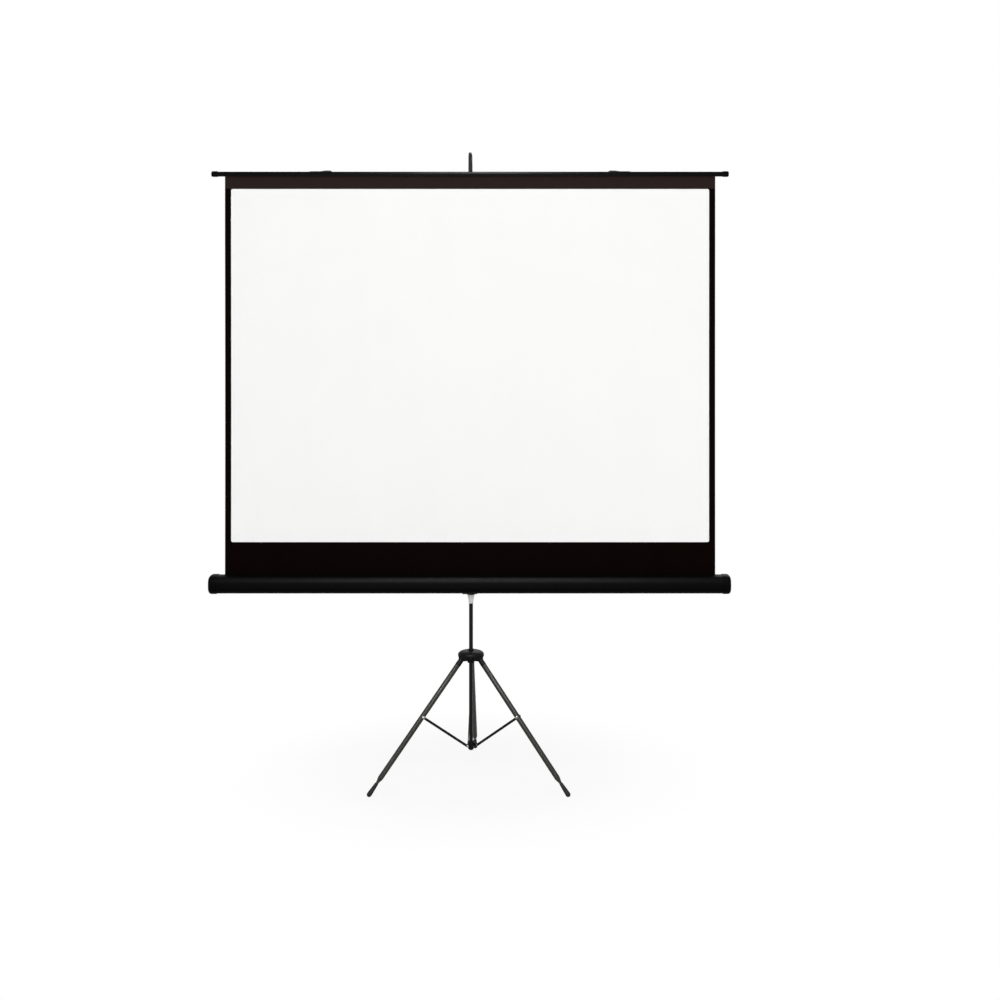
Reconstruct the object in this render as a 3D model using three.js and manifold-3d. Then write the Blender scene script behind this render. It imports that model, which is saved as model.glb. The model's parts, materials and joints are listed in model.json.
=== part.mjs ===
// Tripod projection screen, standing open with its picture surface drawn out.
// Millimetres, +Z up, the picture faces -Y and the rear leg points to +Y.
import * as THREE from 'three';
import { mergeVertices } from 'three/addons/utils/BufferGeometryUtils.js';
import Module from 'manifold-3d';

const wasm = await Module();
wasm.setup();

// Clearances
const FIT = 0.3;
const SLIDE_FIT = 0.4;

// Picture surface and its black-backed sheet
const WHITE_WIDTH = 1707;
const WHITE_HEIGHT = 1261;
const WHITE_CORNER = 6;
const WHITE_BOTTOM_Z = 871;
const WHITE_FACE = 0.3;
const SIDE_BORDER = 22;
const TOP_BORDER = 45;
const SHEET_THICK = 0.5;

// Roller, its winding and its spring
const ROLLER_RADIUS = 15;
const ROLLER_WALL = 1;
const ROLLER_SPARE = 5;
const WRAP_PITCH = 0.8;
const WRAP_THICK = 0.45;
const WRAP_TURNS = 1.3;
const PLUG_DEPTH = 18;
const PLUG_FLANGE = 3;
const ROLLER_PIN_RADIUS = 4;
const ROLLER_PIN_REACH = 9;
const SPRING_WIRE = 2;
const SPRING_TURNS = 7;
const SPRING_PITCH = 26;

// Case
const CASE_HEIGHT = 64;
const CASE_DEPTH = 82;
const CASE_WALL = 1.6;
const CASE_SPARE = 45;
const CASE_SQUARENESS = 3.1;
const CASE_AXIS_Z = 724;
const CASE_AXIS_Y = -92;
const SLOT_WIDTH = 9;
const ROLLER_FORWARD = 4;
const CAP_LENGTH = 28;
const CAP_OVERLAP = 1.8;
const CAP_WALL = 3;
const CAP_SPIGOT = 12;
const CAP_ROUND = 11;

// Slat and its hanger
const SLAT_HEIGHT = 17;
const SLAT_DEPTH = 13;
const SLAT_SPARE = 51;
const SLAT_GROOVE_DEPTH = 7;
const SLAT_ROUND = 10;
const SLAT_CAP_LENGTH = 23;
const SLAT_CAP_OVERLAP = 1.6;
const PAD_LENGTH = 50;
const PAD_HEIGHT = 4;
const PAD_SPACING = 1036;
const STRAP_WIDTH = 13;
const STRAP_FOOT_WIDTH = 22;
const STRAP_THICK = 2;

// Mast tubes, flat-oval
const OUTER_WIDTH = 14;
const OUTER_DEPTH = 24;
const OUTER_WALL = 1.5;
const INNER_WIDTH = 10;
const INNER_DEPTH = 20;
const INNER_WALL = 1.2;
const INNER_BOTTOM_Z = 1090;
const STOP_SHOE_LENGTH = 30;

// Lock collar at the top of the outer tube
const COLLAR_TOP_Z = 1260;
const COLLAR_HEIGHT = 97;
const COLLAR_WIDTH = 27;
const COLLAR_DEPTH = 38;
const COLLAR_LIP = 14;
const BUTTON_RADIUS = 7;
const BUTTON_STAND = 4;

// Gooseneck bracket on the inner tube
const BRACKET_RISE = 68;
const BRACKET_HEIGHT = 80;
const BRACKET_WIDTH = 11;
const BRACKET_REACH = 63;
const ARM_THICK = 22;
const NOTCH_WIDTH = 10;
const NOTCH_DEPTH = 11;
const LIP_WIDTH = 8;
const SPIGOT_LENGTH = 45;
const BRACKET_RIVET_RADIUS = 2;

// Carriage that slides on the outer tube
const CARRIAGE_TOP = 62;
const CARRIAGE_BOTTOM = 52;
const CARRIAGE_WIDTH = 28;
const CARRIAGE_DEPTH = 37;
const FLANGE_GROWTH = 2.5;
const FLANGE_HEIGHT = 9;
const BUSH_LENGTH = 32;
const BUSH_WALL = 1.6;
const BOSS_RADIUS = 14;
const BOSS_FACE_Y = -29;
const STUD_RADIUS = 5;
const SADDLE_LENGTH = 52;
const SADDLE_THICK = 3;
const HANDLE_REACH = 50;
const HANDLE_THICK = 8.5;
const HANDLE_WIDTH = 17;
const HANDLE_DROP = 16;

// Crown and tripod
const CROWN_TOP_Z = 473;
const CROWN_SKIRT = 48;
const CANOPY_RADIUS = 47;
const CANOPY_LIP = 7;
const CANOPY_WALL = 4;
const CANOPY_NECK = 4;
const LEG_PIVOT_Z = 443;
const LEG_PIVOT_RADIUS = 35;
const LEG_ANGLE = THREE.MathUtils.degToRad(40);
const LEG_RADIUS = 9.5;
const LEG_WALL = 1;
const LEG_TUBE_END = 504;
const LEG_NECK_RADIUS = 4.4;
const LEG_NECK_LENGTH = 28;
const KNUCKLE_LENGTH = 58;
const KNUCKLE_RADIUS = 10;
const LOCK_PIN_RADIUS = 3.6;
const LOCK_BOSS_RADIUS = 6.5;
const CHEEK_THICK = 3.5;
const CHEEK_END_RADIUS = 9.5;
const LEG_PIN_RADIUS = 3;
const FOOT_RADIUS = 8.6;
const FOOT_FLAT = 0.8;
const FOOT_SLEEVE = 18;
const STRUT_STATION = 250;
const STRUT_THICK = 3;
const STRUT_WIDTH = 9;
const RIVET_RADIUS = 2.5;
const RIVET_HEAD_RADIUS = 4.6;
const RIVET_HEAD = 2;

// Foot hub at the bottom of the mast
const HUB_PIVOT_Z = 126;
const HUB_PIVOT_RADIUS = 21;
const HUB_HEIGHT = 24;
const HUB_WALL = 3;
const HUB_BALL_RADIUS = 11;
const LUG_THICK = 4.5;

const ROUND = 16;
const legs = [
  { name: 'rear', azimuth: Math.PI / 2 },
  { name: 'right', azimuth: -Math.PI / 6 },
  { name: 'left', azimuth: Math.PI * 7 / 6 },
];

const materials = {
  caseBlack: { color: 0x141414, roughness: 0.42, metalness: 0.25 },
  plasticBlack: { color: 0x191717, roughness: 0.5, metalness: 0 },
  tubeBlack: { color: 0x1d1c1b, roughness: 0.38, metalness: 0.3 },
  legGrey: { color: 0x35332f, roughness: 0.36, metalness: 0.35 },
  rubber: { color: 0x161514, roughness: 0.85, metalness: 0 },
  nylon: { color: 0xd8d8d4, roughness: 0.55, metalness: 0 },
  zinc: { color: 0x9d9c98, roughness: 0.35, metalness: 0.9 },
  steel: { color: 0x77757a, roughness: 0.4, metalness: 0.9 },
  white: { color: 0xf6f6f4, roughness: 0.9, metalness: 0 },
  mask: { color: 0x2b2523, roughness: 0.85, metalness: 0 },
};

function material(look) {
  return new THREE.MeshStandardMaterial(materials[look]);
}

function piece(parent, name, geometry, look) {
  const mesh = new THREE.Mesh(geometry, material(look));
  mesh.name = name;
  parent.add(mesh);
  return mesh;
}

// Booleans on closed meshes
function toSolid(geometry) {
  const bare = geometry.clone();
  bare.deleteAttribute('normal');
  bare.deleteAttribute('uv');
  const merged = mergeVertices(bare, 1e-4);
  return new wasm.Manifold(new wasm.Mesh({
    numProp: 3,
    vertProperties: new Float32Array(merged.attributes.position.array),
    triVerts: new Uint32Array(merged.index.array),
  }));
}

function toGeometry(solid) {
  const mesh = solid.getMesh();
  const geometry = new THREE.BufferGeometry();
  const points = new Float32Array(mesh.vertProperties);
  geometry.setAttribute('position', new THREE.BufferAttribute(points, 3));
  geometry.setIndex(new THREE.BufferAttribute(new Uint32Array(mesh.triVerts), 1));
  geometry.computeVertexNormals();
  return geometry;
}

function cut(body, ...tools) {
  let solid = toSolid(body);
  for (const tool of tools) solid = solid.subtract(toSolid(tool));
  return toGeometry(solid);
}

function join(body, ...others) {
  let solid = toSolid(body);
  for (const other of others) solid = solid.add(toSolid(other));
  return toGeometry(solid);
}

// Flat outlines
function outline(points) {
  return new THREE.Shape(points.map(([u, v]) => new THREE.Vector2(u, v)));
}

function ovalShape(width, depth, steps = 6) {
  const flat = (depth - width) / 2;
  const shape = new THREE.Shape();
  const points = [];
  for (let i = 0; i <= steps; i++) {
    const turn = Math.PI * i / steps;
    points.push([width / 2 * Math.cos(turn), flat + width / 2 * Math.sin(turn)]);
  }
  for (let i = 0; i <= steps; i++) {
    const turn = Math.PI + Math.PI * i / steps;
    points.push([width / 2 * Math.cos(turn), -flat + width / 2 * Math.sin(turn)]);
  }
  shape.setFromPoints(points.map(([u, v]) => new THREE.Vector2(u, v)));
  return shape;
}

function roundedShape(width, height, radius) {
  const shape = new THREE.Shape();
  const u = width / 2 - radius;
  const v = height / 2 - radius;
  shape.absarc(u, v, radius, 0, Math.PI / 2);
  shape.absarc(-u, v, radius, Math.PI / 2, Math.PI);
  shape.absarc(-u, -v, radius, Math.PI, Math.PI * 1.5);
  shape.absarc(u, -v, radius, Math.PI * 1.5, Math.PI * 2);
  return shape;
}

function squareRound(width, height, squareness, count) {
  const points = [];
  for (let i = 0; i < count; i++) {
    const turn = 2 * Math.PI * (i + 0.5) / count;
    const c = Math.cos(turn);
    const s = Math.sin(turn);
    const u = Math.sign(c) * Math.abs(c) ** (2 / squareness) * width / 2;
    const v = Math.sign(s) * Math.abs(s) ** (2 / squareness) * height / 2;
    points.push([u, v]);
  }
  return points;
}

// A strip of even thickness along a flat curve
function stripShape(curve, thick, steps) {
  const left = [];
  const right = [];
  for (let i = 0; i <= steps; i++) {
    const at = curve.getPointAt(i / steps);
    const along = curve.getTangentAt(i / steps);
    left.push(new THREE.Vector2(at.x - along.y * thick / 2, at.y + along.x * thick / 2));
    right.push(new THREE.Vector2(at.x + along.y * thick / 2, at.y - along.x * thick / 2));
  }
  return new THREE.Shape([...right, ...left.reverse()]);
}

// Solids from outlines
function extrude(shape, depth, bevel = 0) {
  return new THREE.ExtrudeGeometry(shape, {
    depth: depth - 2 * bevel,
    curveSegments: 6,
    bevelEnabled: bevel > 0,
    bevelThickness: bevel,
    bevelSize: bevel,
    bevelOffset: -bevel,
    bevelSegments: 1,
  }).translate(0, 0, bevel);
}

function upright(shape, low, high, bevel = 0) {
  return extrude(shape, high - low, bevel).translate(0, 0, low);
}

// A (y, z) outline carried along X, centred on the middle plane
const acrossBasis = new THREE.Matrix4().makeBasis(
  new THREE.Vector3(0, 1, 0), new THREE.Vector3(0, 0, 1), new THREE.Vector3(1, 0, 0));

function across(shape, length, bevel = 0) {
  return extrude(shape, length, bevel).translate(0, 0, -length / 2).applyMatrix4(acrossBasis);
}

// A (radius, z) outline carried along the tangent, from one offset to another
function beside(shape, from, to, bevel = 0) {
  return extrude(shape, to - from, bevel).rotateX(Math.PI / 2).translate(0, to, 0);
}

function roundBar(radius, length, sides = ROUND) {
  return new THREE.CylinderGeometry(radius, radius, length, sides);
}

// Round bars along each axis, from one end to the other
function barAlongX(radius, from, to, sides = ROUND) {
  return roundBar(radius, to - from, sides).rotateZ(Math.PI / 2).translate((from + to) / 2, 0, 0);
}

function barAlongY(radius, from, to, sides = ROUND) {
  return roundBar(radius, to - from, sides).translate(0, (from + to) / 2, 0);
}

function lathe(points, sides = ROUND) {
  const profile = points.map(([r, h]) => new THREE.Vector2(r, h));
  return new THREE.LatheGeometry(profile, sides).rotateX(Math.PI / 2);
}

// Rings of equal count joined into one closed skin
function loft(rings) {
  const count = rings[0].length;
  const points = rings.flat();
  const faces = [];
  for (let ring = 0; ring + 1 < rings.length; ring++) {
    for (let i = 0; i < count; i++) {
      const a = ring * count + i;
      const b = ring * count + (i + 1) % count;
      faces.push(a, b, a + count, b, b + count, a + count);
    }
  }
  const last = (rings.length - 1) * count;
  for (let i = 1; i + 1 < count; i++) {
    faces.push(0, i + 1, i);
    faces.push(last, last + i, last + i + 1);
  }
  const geometry = new THREE.BufferGeometry();
  geometry.setAttribute('position', new THREE.Float32BufferAttribute(points.flat(), 3));
  geometry.setIndex(faces);
  return geometry;
}

function uprightRing(shape, z) {
  return shape.getPoints().map((p) => [p.x, p.y, z]);
}

// Places that several pieces share
const rollerY = CASE_AXIS_Y - ROLLER_FORWARD;
const wrapInner = ROLLER_RADIUS + FIT;
const wrapOuter = wrapInner + WRAP_PITCH * WRAP_TURNS + WRAP_THICK;
const sheetFront = rollerY + wrapOuter + FIT;
const sheetBack = sheetFront + SHEET_THICK;
const sheetWidth = WHITE_WIDTH + 2 * SIDE_BORDER;
const rollerLength = sheetWidth + ROLLER_SPARE;
const shellLength = sheetWidth + CASE_SPARE;
const slatLength = sheetWidth + SLAT_SPARE;
const whiteTop = WHITE_BOTTOM_Z + WHITE_HEIGHT;
const slatBottom = whiteTop + TOP_BORDER;
const slatTop = slatBottom + SLAT_HEIGHT;
const slatY = (sheetFront + sheetBack) / 2;
const slatBack = slatY + SLAT_DEPTH / 2;
const carriageTop = CASE_AXIS_Z + CARRIAGE_TOP;
const carriageBottom = CASE_AXIS_Z - CARRIAGE_BOTTOM;
const bushBottom = carriageBottom - BUSH_LENGTH;
const collarBottom = COLLAR_TOP_Z - COLLAR_HEIGHT;
const outerTop = COLLAR_TOP_Z - COLLAR_LIP;
const outerBottom = HUB_PIVOT_Z + HUB_WALL - 4;
const bracketTop = slatTop + BRACKET_RISE;
const bracketBottom = bracketTop - BRACKET_HEIGHT;
const innerTop = bracketBottom - FIT;
const strutFrom = LEG_RADIUS + FIT;
const strutTo = strutFrom + STRUT_THICK;

const screen = new THREE.Group();

// Mast: outer tube, foot hub and lock collar
const outerTube = ovalShape(OUTER_WIDTH, OUTER_DEPTH);
outerTube.holes.push(ovalShape(OUTER_WIDTH - 2 * OUTER_WALL, OUTER_DEPTH - 2 * OUTER_WALL));
const buttonZ = collarBottom + COLLAR_HEIGHT * 0.42;
piece(screen, 'mast_outer_tube', upright(outerTube, outerBottom, outerTop), 'tubeBlack');

const outerSlide = ovalShape(OUTER_WIDTH + 2 * SLIDE_FIT, OUTER_DEPTH + 2 * SLIDE_FIT);
const outerSeat = ovalShape(OUTER_WIDTH + 2 * FIT, OUTER_DEPTH + 2 * FIT);
const innerSlide = ovalShape(INNER_WIDTH + 2 * SLIDE_FIT, INNER_DEPTH + 2 * SLIDE_FIT);

// Collar with a chamfered mouth and a tapered lower end, bored in two steps
const collarTaper = 5;
const collarRings = [
  [COLLAR_WIDTH - collarTaper, COLLAR_DEPTH - collarTaper, collarBottom],
  [COLLAR_WIDTH, COLLAR_DEPTH, collarBottom + COLLAR_HEIGHT * 0.24],
  [COLLAR_WIDTH, COLLAR_DEPTH, COLLAR_TOP_Z - COLLAR_LIP],
  [COLLAR_WIDTH - 4, COLLAR_DEPTH - 4, COLLAR_TOP_Z - COLLAR_LIP * 0.55],
  [COLLAR_WIDTH - 9, COLLAR_DEPTH - 9, COLLAR_TOP_Z],
].map(([width, depth, z]) => uprightRing(ovalShape(width, depth), z));
const buttonBore = barAlongY(BUTTON_RADIUS + SLIDE_FIT, OUTER_DEPTH / 2 + FIT + 1, COLLAR_DEPTH);
piece(screen, 'extension_lock_collar', cut(
  loft(collarRings),
  upright(outerSeat, collarBottom - 1, outerTop + FIT),
  upright(innerSlide, collarBottom, COLLAR_TOP_Z + 1),
  buttonBore.clone().translate(0, 0, buttonZ),
), 'plasticBlack');

// Push button with a domed face, for a bore that opens to +Y
function pushButton(back, face) {
  return lathe([
    [0, back], [BUTTON_RADIUS, back], [BUTTON_RADIUS, face - 1.6],
    [BUTTON_RADIUS - 0.7, face - 0.5], [BUTTON_RADIUS - 2.2, face], [0, face],
  ]).rotateX(-Math.PI / 2);
}

const collarButton = pushButton(OUTER_DEPTH / 2 + FIT + 4.2, COLLAR_DEPTH / 2 + BUTTON_STAND);
piece(screen, 'extension_lock_button', collarButton.translate(0, 0, buttonZ), 'plasticBlack');

// Foot hub: cup for the tube, round end and three lugs for the struts
const hubTop = HUB_PIVOT_Z + HUB_HEIGHT / 2;
const hubBottom = hubTop - HUB_HEIGHT;
const hubCup = upright(ovalShape(OUTER_WIDTH + 2 * HUB_WALL, OUTER_DEPTH + 2 * HUB_WALL),
  hubBottom, hubTop);
const hubBall = lathe([
  [0, -HUB_BALL_RADIUS * 0.75], [HUB_BALL_RADIUS * 0.5, -HUB_BALL_RADIUS * 0.65],
  [HUB_BALL_RADIUS * 0.87, -HUB_BALL_RADIUS * 0.35], [HUB_BALL_RADIUS, 0.5], [0, 0.5],
]).translate(0, 0, hubBottom);
const lugShape = new THREE.Shape();
lugShape.moveTo(4, HUB_PIVOT_Z - STRUT_WIDTH / 2 - 1);
lugShape.lineTo(HUB_PIVOT_RADIUS, HUB_PIVOT_Z - STRUT_WIDTH / 2);
lugShape.absarc(HUB_PIVOT_RADIUS, HUB_PIVOT_Z, STRUT_WIDTH / 2, -Math.PI / 2, Math.PI / 2);
lugShape.lineTo(4, HUB_PIVOT_Z + STRUT_WIDTH / 2 + 3);
const lugTo = strutFrom - FIT;
const lug = beside(lugShape, lugTo - LUG_THICK, lugTo);
const hubPinBore = barAlongY(RIVET_RADIUS + FIT, lugTo - LUG_THICK - 1, lugTo + 1, 12)
  .translate(HUB_PIVOT_RADIUS, 0, HUB_PIVOT_Z);
const lugs = legs.map((leg) => cut(lug, hubPinBore).rotateZ(leg.azimuth));
const tubeSeat = upright(outerSeat, outerBottom - FIT, hubTop + 1);
const hubCore = cut(join(hubCup, hubBall), tubeSeat);
piece(screen, 'mast_foot_hub',
  join(hubCore, ...lugs.map((each) => cut(each, tubeSeat))), 'plasticBlack');

// Crown that slides on the tube, one trumpet with three forked arms
const crownBottom = CROWN_TOP_Z - CROWN_SKIRT;
const crownRings = [
  [OUTER_WIDTH + 11, OUTER_DEPTH + 9, crownBottom],
  [OUTER_WIDTH + 15, OUTER_DEPTH + 12, LEG_PIVOT_Z - 4],
  [OUTER_WIDTH + 16, OUTER_DEPTH + 12, LEG_PIVOT_Z + 12],
  [OUTER_WIDTH + 9, OUTER_DEPTH + 6, CROWN_TOP_Z - 9],
  [OUTER_WIDTH + 5, OUTER_DEPTH + 4.5, CROWN_TOP_Z],
].map(([width, depth, z]) => uprightRing(ovalShape(width, depth), z));
const cheekFrom = KNUCKLE_RADIUS + FIT;
const cheekTo = cheekFrom + CHEEK_THICK;
const armTip = LEG_PIVOT_RADIUS + CHEEK_END_RADIUS + 1;
const pocketRoof = LEG_PIVOT_Z + KNUCKLE_RADIUS + 1;
const pocketBack = LEG_PIVOT_RADIUS - KNUCKLE_RADIUS - 1.5;
const armShape = new THREE.Shape();
armShape.moveTo(6, LEG_PIVOT_Z - CHEEK_END_RADIUS);
armShape.lineTo(LEG_PIVOT_RADIUS, LEG_PIVOT_Z - CHEEK_END_RADIUS);
armShape.absarc(LEG_PIVOT_RADIUS, LEG_PIVOT_Z, CHEEK_END_RADIUS, -Math.PI / 2, Math.PI / 4);
armShape.lineTo(LEG_PIVOT_RADIUS, pocketRoof + 1);
armShape.lineTo(6, pocketRoof + 1);
const armPocket = new THREE.Shape();
armPocket.moveTo(pocketBack, crownBottom - 1);
armPocket.lineTo(armTip + 8, crownBottom - 1);
armPocket.lineTo(armTip + 8, pocketRoof - 3);
armPocket.lineTo(LEG_PIVOT_RADIUS, pocketRoof);
armPocket.quadraticCurveTo(pocketBack, pocketRoof, pocketBack, LEG_PIVOT_Z);
const legPinBore = barAlongY(LEG_PIN_RADIUS + FIT, -cheekTo - 1, cheekTo + 1, 12)
  .translate(LEG_PIVOT_RADIUS, 0, LEG_PIVOT_Z);
const lockBoss = barAlongY(LOCK_BOSS_RADIUS, -OUTER_DEPTH / 2 - 9, -OUTER_DEPTH / 2 - 1, 16)
  .translate(0, 0, LEG_PIVOT_Z + 2);
const lockPinBack = -OUTER_DEPTH / 2 - SLIDE_FIT - 3;
const lockPinFace = -OUTER_DEPTH / 2 - 12;
const lockBore = barAlongY(LOCK_PIN_RADIUS + SLIDE_FIT, lockPinFace - 1, -OUTER_DEPTH / 2, 16)
  .translate(0, 0, LEG_PIVOT_Z + 2);
const arms = legs.map((leg) => cut(
  beside(armShape, -cheekTo, cheekTo, 1.2),
  beside(armPocket, -cheekFrom, cheekFrom),
  legPinBore,
).rotateZ(leg.azimuth));
const pocketCuts = legs.map((leg) => beside(armPocket, -cheekFrom, cheekFrom).rotateZ(leg.azimuth));
const crownCore = cut(join(loft(crownRings), lockBoss), ...pocketCuts);

// Domed canopy over the fork, with a lip that hangs down between the legs
const domeEye = OUTER_DEPTH / 2 + 5;
const domeTop = CROWN_TOP_Z - CANOPY_NECK;
const lipBottom = pocketRoof - CANOPY_LIP;
const dome = [0, 0.25, 0.5, 0.75, 1].map((share) => {
  const turn = share * Math.PI / 2;
  return [domeEye + (CANOPY_RADIUS - domeEye) * Math.cos(turn),
    pocketRoof + (domeTop - pocketRoof) * Math.sin(turn)];
});
const canopy = lathe([
  [0, pocketRoof], [CANOPY_RADIUS - CANOPY_WALL, pocketRoof], [CANOPY_RADIUS - CANOPY_WALL, lipBottom],
  [CANOPY_RADIUS - 1.5, lipBottom], [CANOPY_RADIUS, lipBottom + 2], ...dome, [0, domeTop],
], 24);
piece(screen, 'tripod_crown', cut(
  join(crownCore, cut(canopy, ...pocketCuts), ...arms),
  upright(outerSlide, crownBottom - 20, CROWN_TOP_Z + 1),
  lockBore,
), 'plasticBlack');
piece(screen, 'crown_lock_button', barAlongY(LOCK_PIN_RADIUS, lockPinFace, lockPinBack, 16)
  .translate(0, 0, LEG_PIVOT_Z + 2), 'zinc');

// Legs, struts and their pins, each built in its own radial plane
const legPointR = LEG_PIVOT_RADIUS + STRUT_STATION * Math.sin(LEG_ANGLE);
const legPointZ = LEG_PIVOT_Z - STRUT_STATION * Math.cos(LEG_ANGLE);
const strutRise = legPointZ - HUB_PIVOT_Z;
const strutRun = legPointR - HUB_PIVOT_RADIUS;
const strutLength = Math.hypot(strutRun, strutRise);
const strutAngle = Math.atan2(strutRise, strutRun);
const legFloor = LEG_PIVOT_Z / Math.cos(LEG_ANGLE);
const legReach = (LEG_PIVOT_Z - FOOT_RADIUS + FOOT_FLAT) / Math.cos(LEG_ANGLE);
const bore = LEG_RADIUS - LEG_WALL;
const neckStart = LEG_TUBE_END + 10;
const neckEnd = neckStart + LEG_NECK_LENGTH;
const tubeStart = KNUCKLE_LENGTH * 0.52;

for (const leg of legs) {
  const plane = new THREE.Group();
  plane.rotation.z = leg.azimuth;
  screen.add(plane);

  const limb = new THREE.Group();
  limb.position.set(LEG_PIVOT_RADIUS, 0, LEG_PIVOT_Z);
  limb.rotation.y = -LEG_ANGLE;
  plane.add(limb);

  // Round tube, crimped to a thin neck at its lower end
  piece(limb, `leg_${leg.name}_tube`, lathe([
    [bore, -LEG_TUBE_END], [LEG_NECK_RADIUS - LEG_WALL, -neckStart],
    [LEG_NECK_RADIUS - LEG_WALL, -neckEnd], [LEG_NECK_RADIUS, -neckEnd],
    [LEG_NECK_RADIUS, -neckStart], [LEG_RADIUS, -LEG_TUBE_END],
    [LEG_RADIUS, -tubeStart], [bore, -tubeStart], [bore, -LEG_TUBE_END],
  ]), 'legGrey');

  // Knuckle: round-ended eye, waist and plug in the tube
  const eye = barAlongY(KNUCKLE_RADIUS, -KNUCKLE_RADIUS, KNUCKLE_RADIUS);
  const stem = lathe([
    [0, -KNUCKLE_LENGTH], [bore - FIT - 0.6, -KNUCKLE_LENGTH],
    [bore - FIT, -KNUCKLE_LENGTH + 2], [bore - FIT, -tubeStart + FIT],
    [LEG_RADIUS + 0.4, -tubeStart + FIT], [KNUCKLE_RADIUS, -tubeStart + 6],
    [KNUCKLE_RADIUS - 0.6, -6], [KNUCKLE_RADIUS - 2, -1], [0, -1],
  ]);
  const pinBore = barAlongY(LEG_PIN_RADIUS + FIT, -KNUCKLE_RADIUS - 1, KNUCKLE_RADIUS + 1, 12);
  piece(limb, `leg_${leg.name}_knuckle`, cut(join(eye, stem), pinBore), 'plasticBlack');

  // Rubber foot: sleeve on the neck and a ball end, with a small level sole
  const ball = [0, 0.25, 0.5, 0.75, 1].map((share) => {
    const turn = share * Math.PI / 2;
    return [FOOT_RADIUS * Math.sin(turn), -legReach - FOOT_RADIUS * Math.cos(turn)];
  });
  const club = lathe([
    ...ball, [FOOT_RADIUS, -legReach + FOOT_RADIUS], [FOOT_RADIUS - 0.6, -legReach + FOOT_RADIUS * 2],
    [LEG_NECK_RADIUS + 2.2, -neckEnd + FOOT_SLEEVE * 0.35],
    [LEG_NECK_RADIUS + 1.5, -neckEnd + FOOT_SLEEVE], [0, -neckEnd + FOOT_SLEEVE],
  ]);
  const neckBore = lathe([
    [0, -neckEnd - FIT], [LEG_NECK_RADIUS + FIT, -neckEnd - FIT],
    [LEG_NECK_RADIUS + FIT, -neckEnd + FOOT_SLEEVE + 1], [0, -neckEnd + FOOT_SLEEVE + 1],
  ]);
  const floor = new THREE.BoxGeometry(120, 60, 60).translate(0, 0, -30)
    .rotateY(LEG_ANGLE).translate(0, 0, -legFloor);
  piece(limb, `leg_${leg.name}_foot`, cut(club, neckBore, floor), 'rubber');

  // Headed pin through the crown's fork
  const pin = join(
    barAlongY(LEG_PIN_RADIUS, -cheekTo - 1.2, cheekTo + FIT + 0.5, 12),
    barAlongY(LEG_PIN_RADIUS + 1.8, cheekTo + FIT, cheekTo + FIT + 1.6, 12),
  );
  piece(plane, `leg_${leg.name}_pin`, pin.translate(LEG_PIVOT_RADIUS, 0, LEG_PIVOT_Z), 'tubeBlack');

  // Flat strut beside the leg, riveted at both ends
  const brace = new THREE.Group();
  brace.position.set(HUB_PIVOT_RADIUS, 0, HUB_PIVOT_Z);
  brace.rotation.y = -strutAngle;
  plane.add(brace);
  const strutShape = new THREE.Shape();
  strutShape.absarc(strutLength, 0, STRUT_WIDTH / 2, -Math.PI / 2, Math.PI / 2);
  strutShape.absarc(0, 0, STRUT_WIDTH / 2, Math.PI / 2, Math.PI * 1.5);
  for (const end of [0, strutLength]) {
    const hole = new THREE.Path();
    hole.absarc(end, 0, RIVET_RADIUS + FIT, 0, Math.PI * 2);
    strutShape.holes.push(hole);
  }
  piece(brace, `strut_${leg.name}`, beside(strutShape, strutFrom, strutTo), 'tubeBlack');
  const headFrom = strutTo + FIT;
  const rivet = join(
    barAlongY(RIVET_RADIUS, strutFrom, headFrom + 0.5, 12),
    lathe([
      [0, headFrom], [RIVET_HEAD_RADIUS, headFrom], [RIVET_HEAD_RADIUS - 0.8, headFrom + 1.1],
      [RIVET_HEAD_RADIUS - 2.4, headFrom + RIVET_HEAD], [0, headFrom + RIVET_HEAD],
    ], 12).rotateX(-Math.PI / 2),
  );
  piece(brace, `strut_${leg.name}_rivet`, rivet.clone().translate(strutLength, 0, 0), 'zinc');
  const hubPin = join(rivet, barAlongY(RIVET_RADIUS, lugTo - LUG_THICK, strutFrom + 1, 12));
  piece(plane, `hub_pin_${leg.name}`,
    hubPin.translate(HUB_PIVOT_RADIUS, 0, HUB_PIVOT_Z), 'zinc');
}

// Carriage: sleeve with two flanges, pivot boss and button boss
const sleeveShape = ovalShape(CARRIAGE_WIDTH, CARRIAGE_DEPTH, 8);
const flangeShape = ovalShape(CARRIAGE_WIDTH + 2 * FLANGE_GROWTH,
  CARRIAGE_DEPTH + 2 * FLANGE_GROWTH, 8);
const releaseZ = carriageTop - 26;
const boss = barAlongY(BOSS_RADIUS, BOSS_FACE_Y, -OUTER_DEPTH / 2, 24)
  .translate(0, 0, CASE_AXIS_Z);
const studBore = barAlongY(STUD_RADIUS + FIT, BOSS_FACE_Y - 1, -OUTER_DEPTH / 2, 16)
  .translate(0, 0, CASE_AXIS_Z);
const releaseBore = barAlongY(BUTTON_RADIUS + SLIDE_FIT, OUTER_DEPTH / 2 + FIT + 1, CARRIAGE_DEPTH)
  .translate(0, 0, releaseZ);
piece(screen, 'carriage_sleeve', cut(
  join(
    upright(sleeveShape, carriageBottom, carriageTop),
    upright(flangeShape, carriageTop - FLANGE_HEIGHT, carriageTop, 1.5),
    upright(flangeShape, carriageBottom, carriageBottom + FLANGE_HEIGHT, 1.5),
    boss,
  ),
  upright(outerSlide, carriageBottom - 1, carriageTop + 1),
  studBore,
  releaseBore,
), 'plasticBlack');
const releaseButton = pushButton(OUTER_DEPTH / 2 + FIT + 4.2, CARRIAGE_DEPTH / 2 + BUTTON_STAND);
piece(screen, 'carriage_release_button', releaseButton.translate(0, 0, releaseZ), 'plasticBlack');

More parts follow.
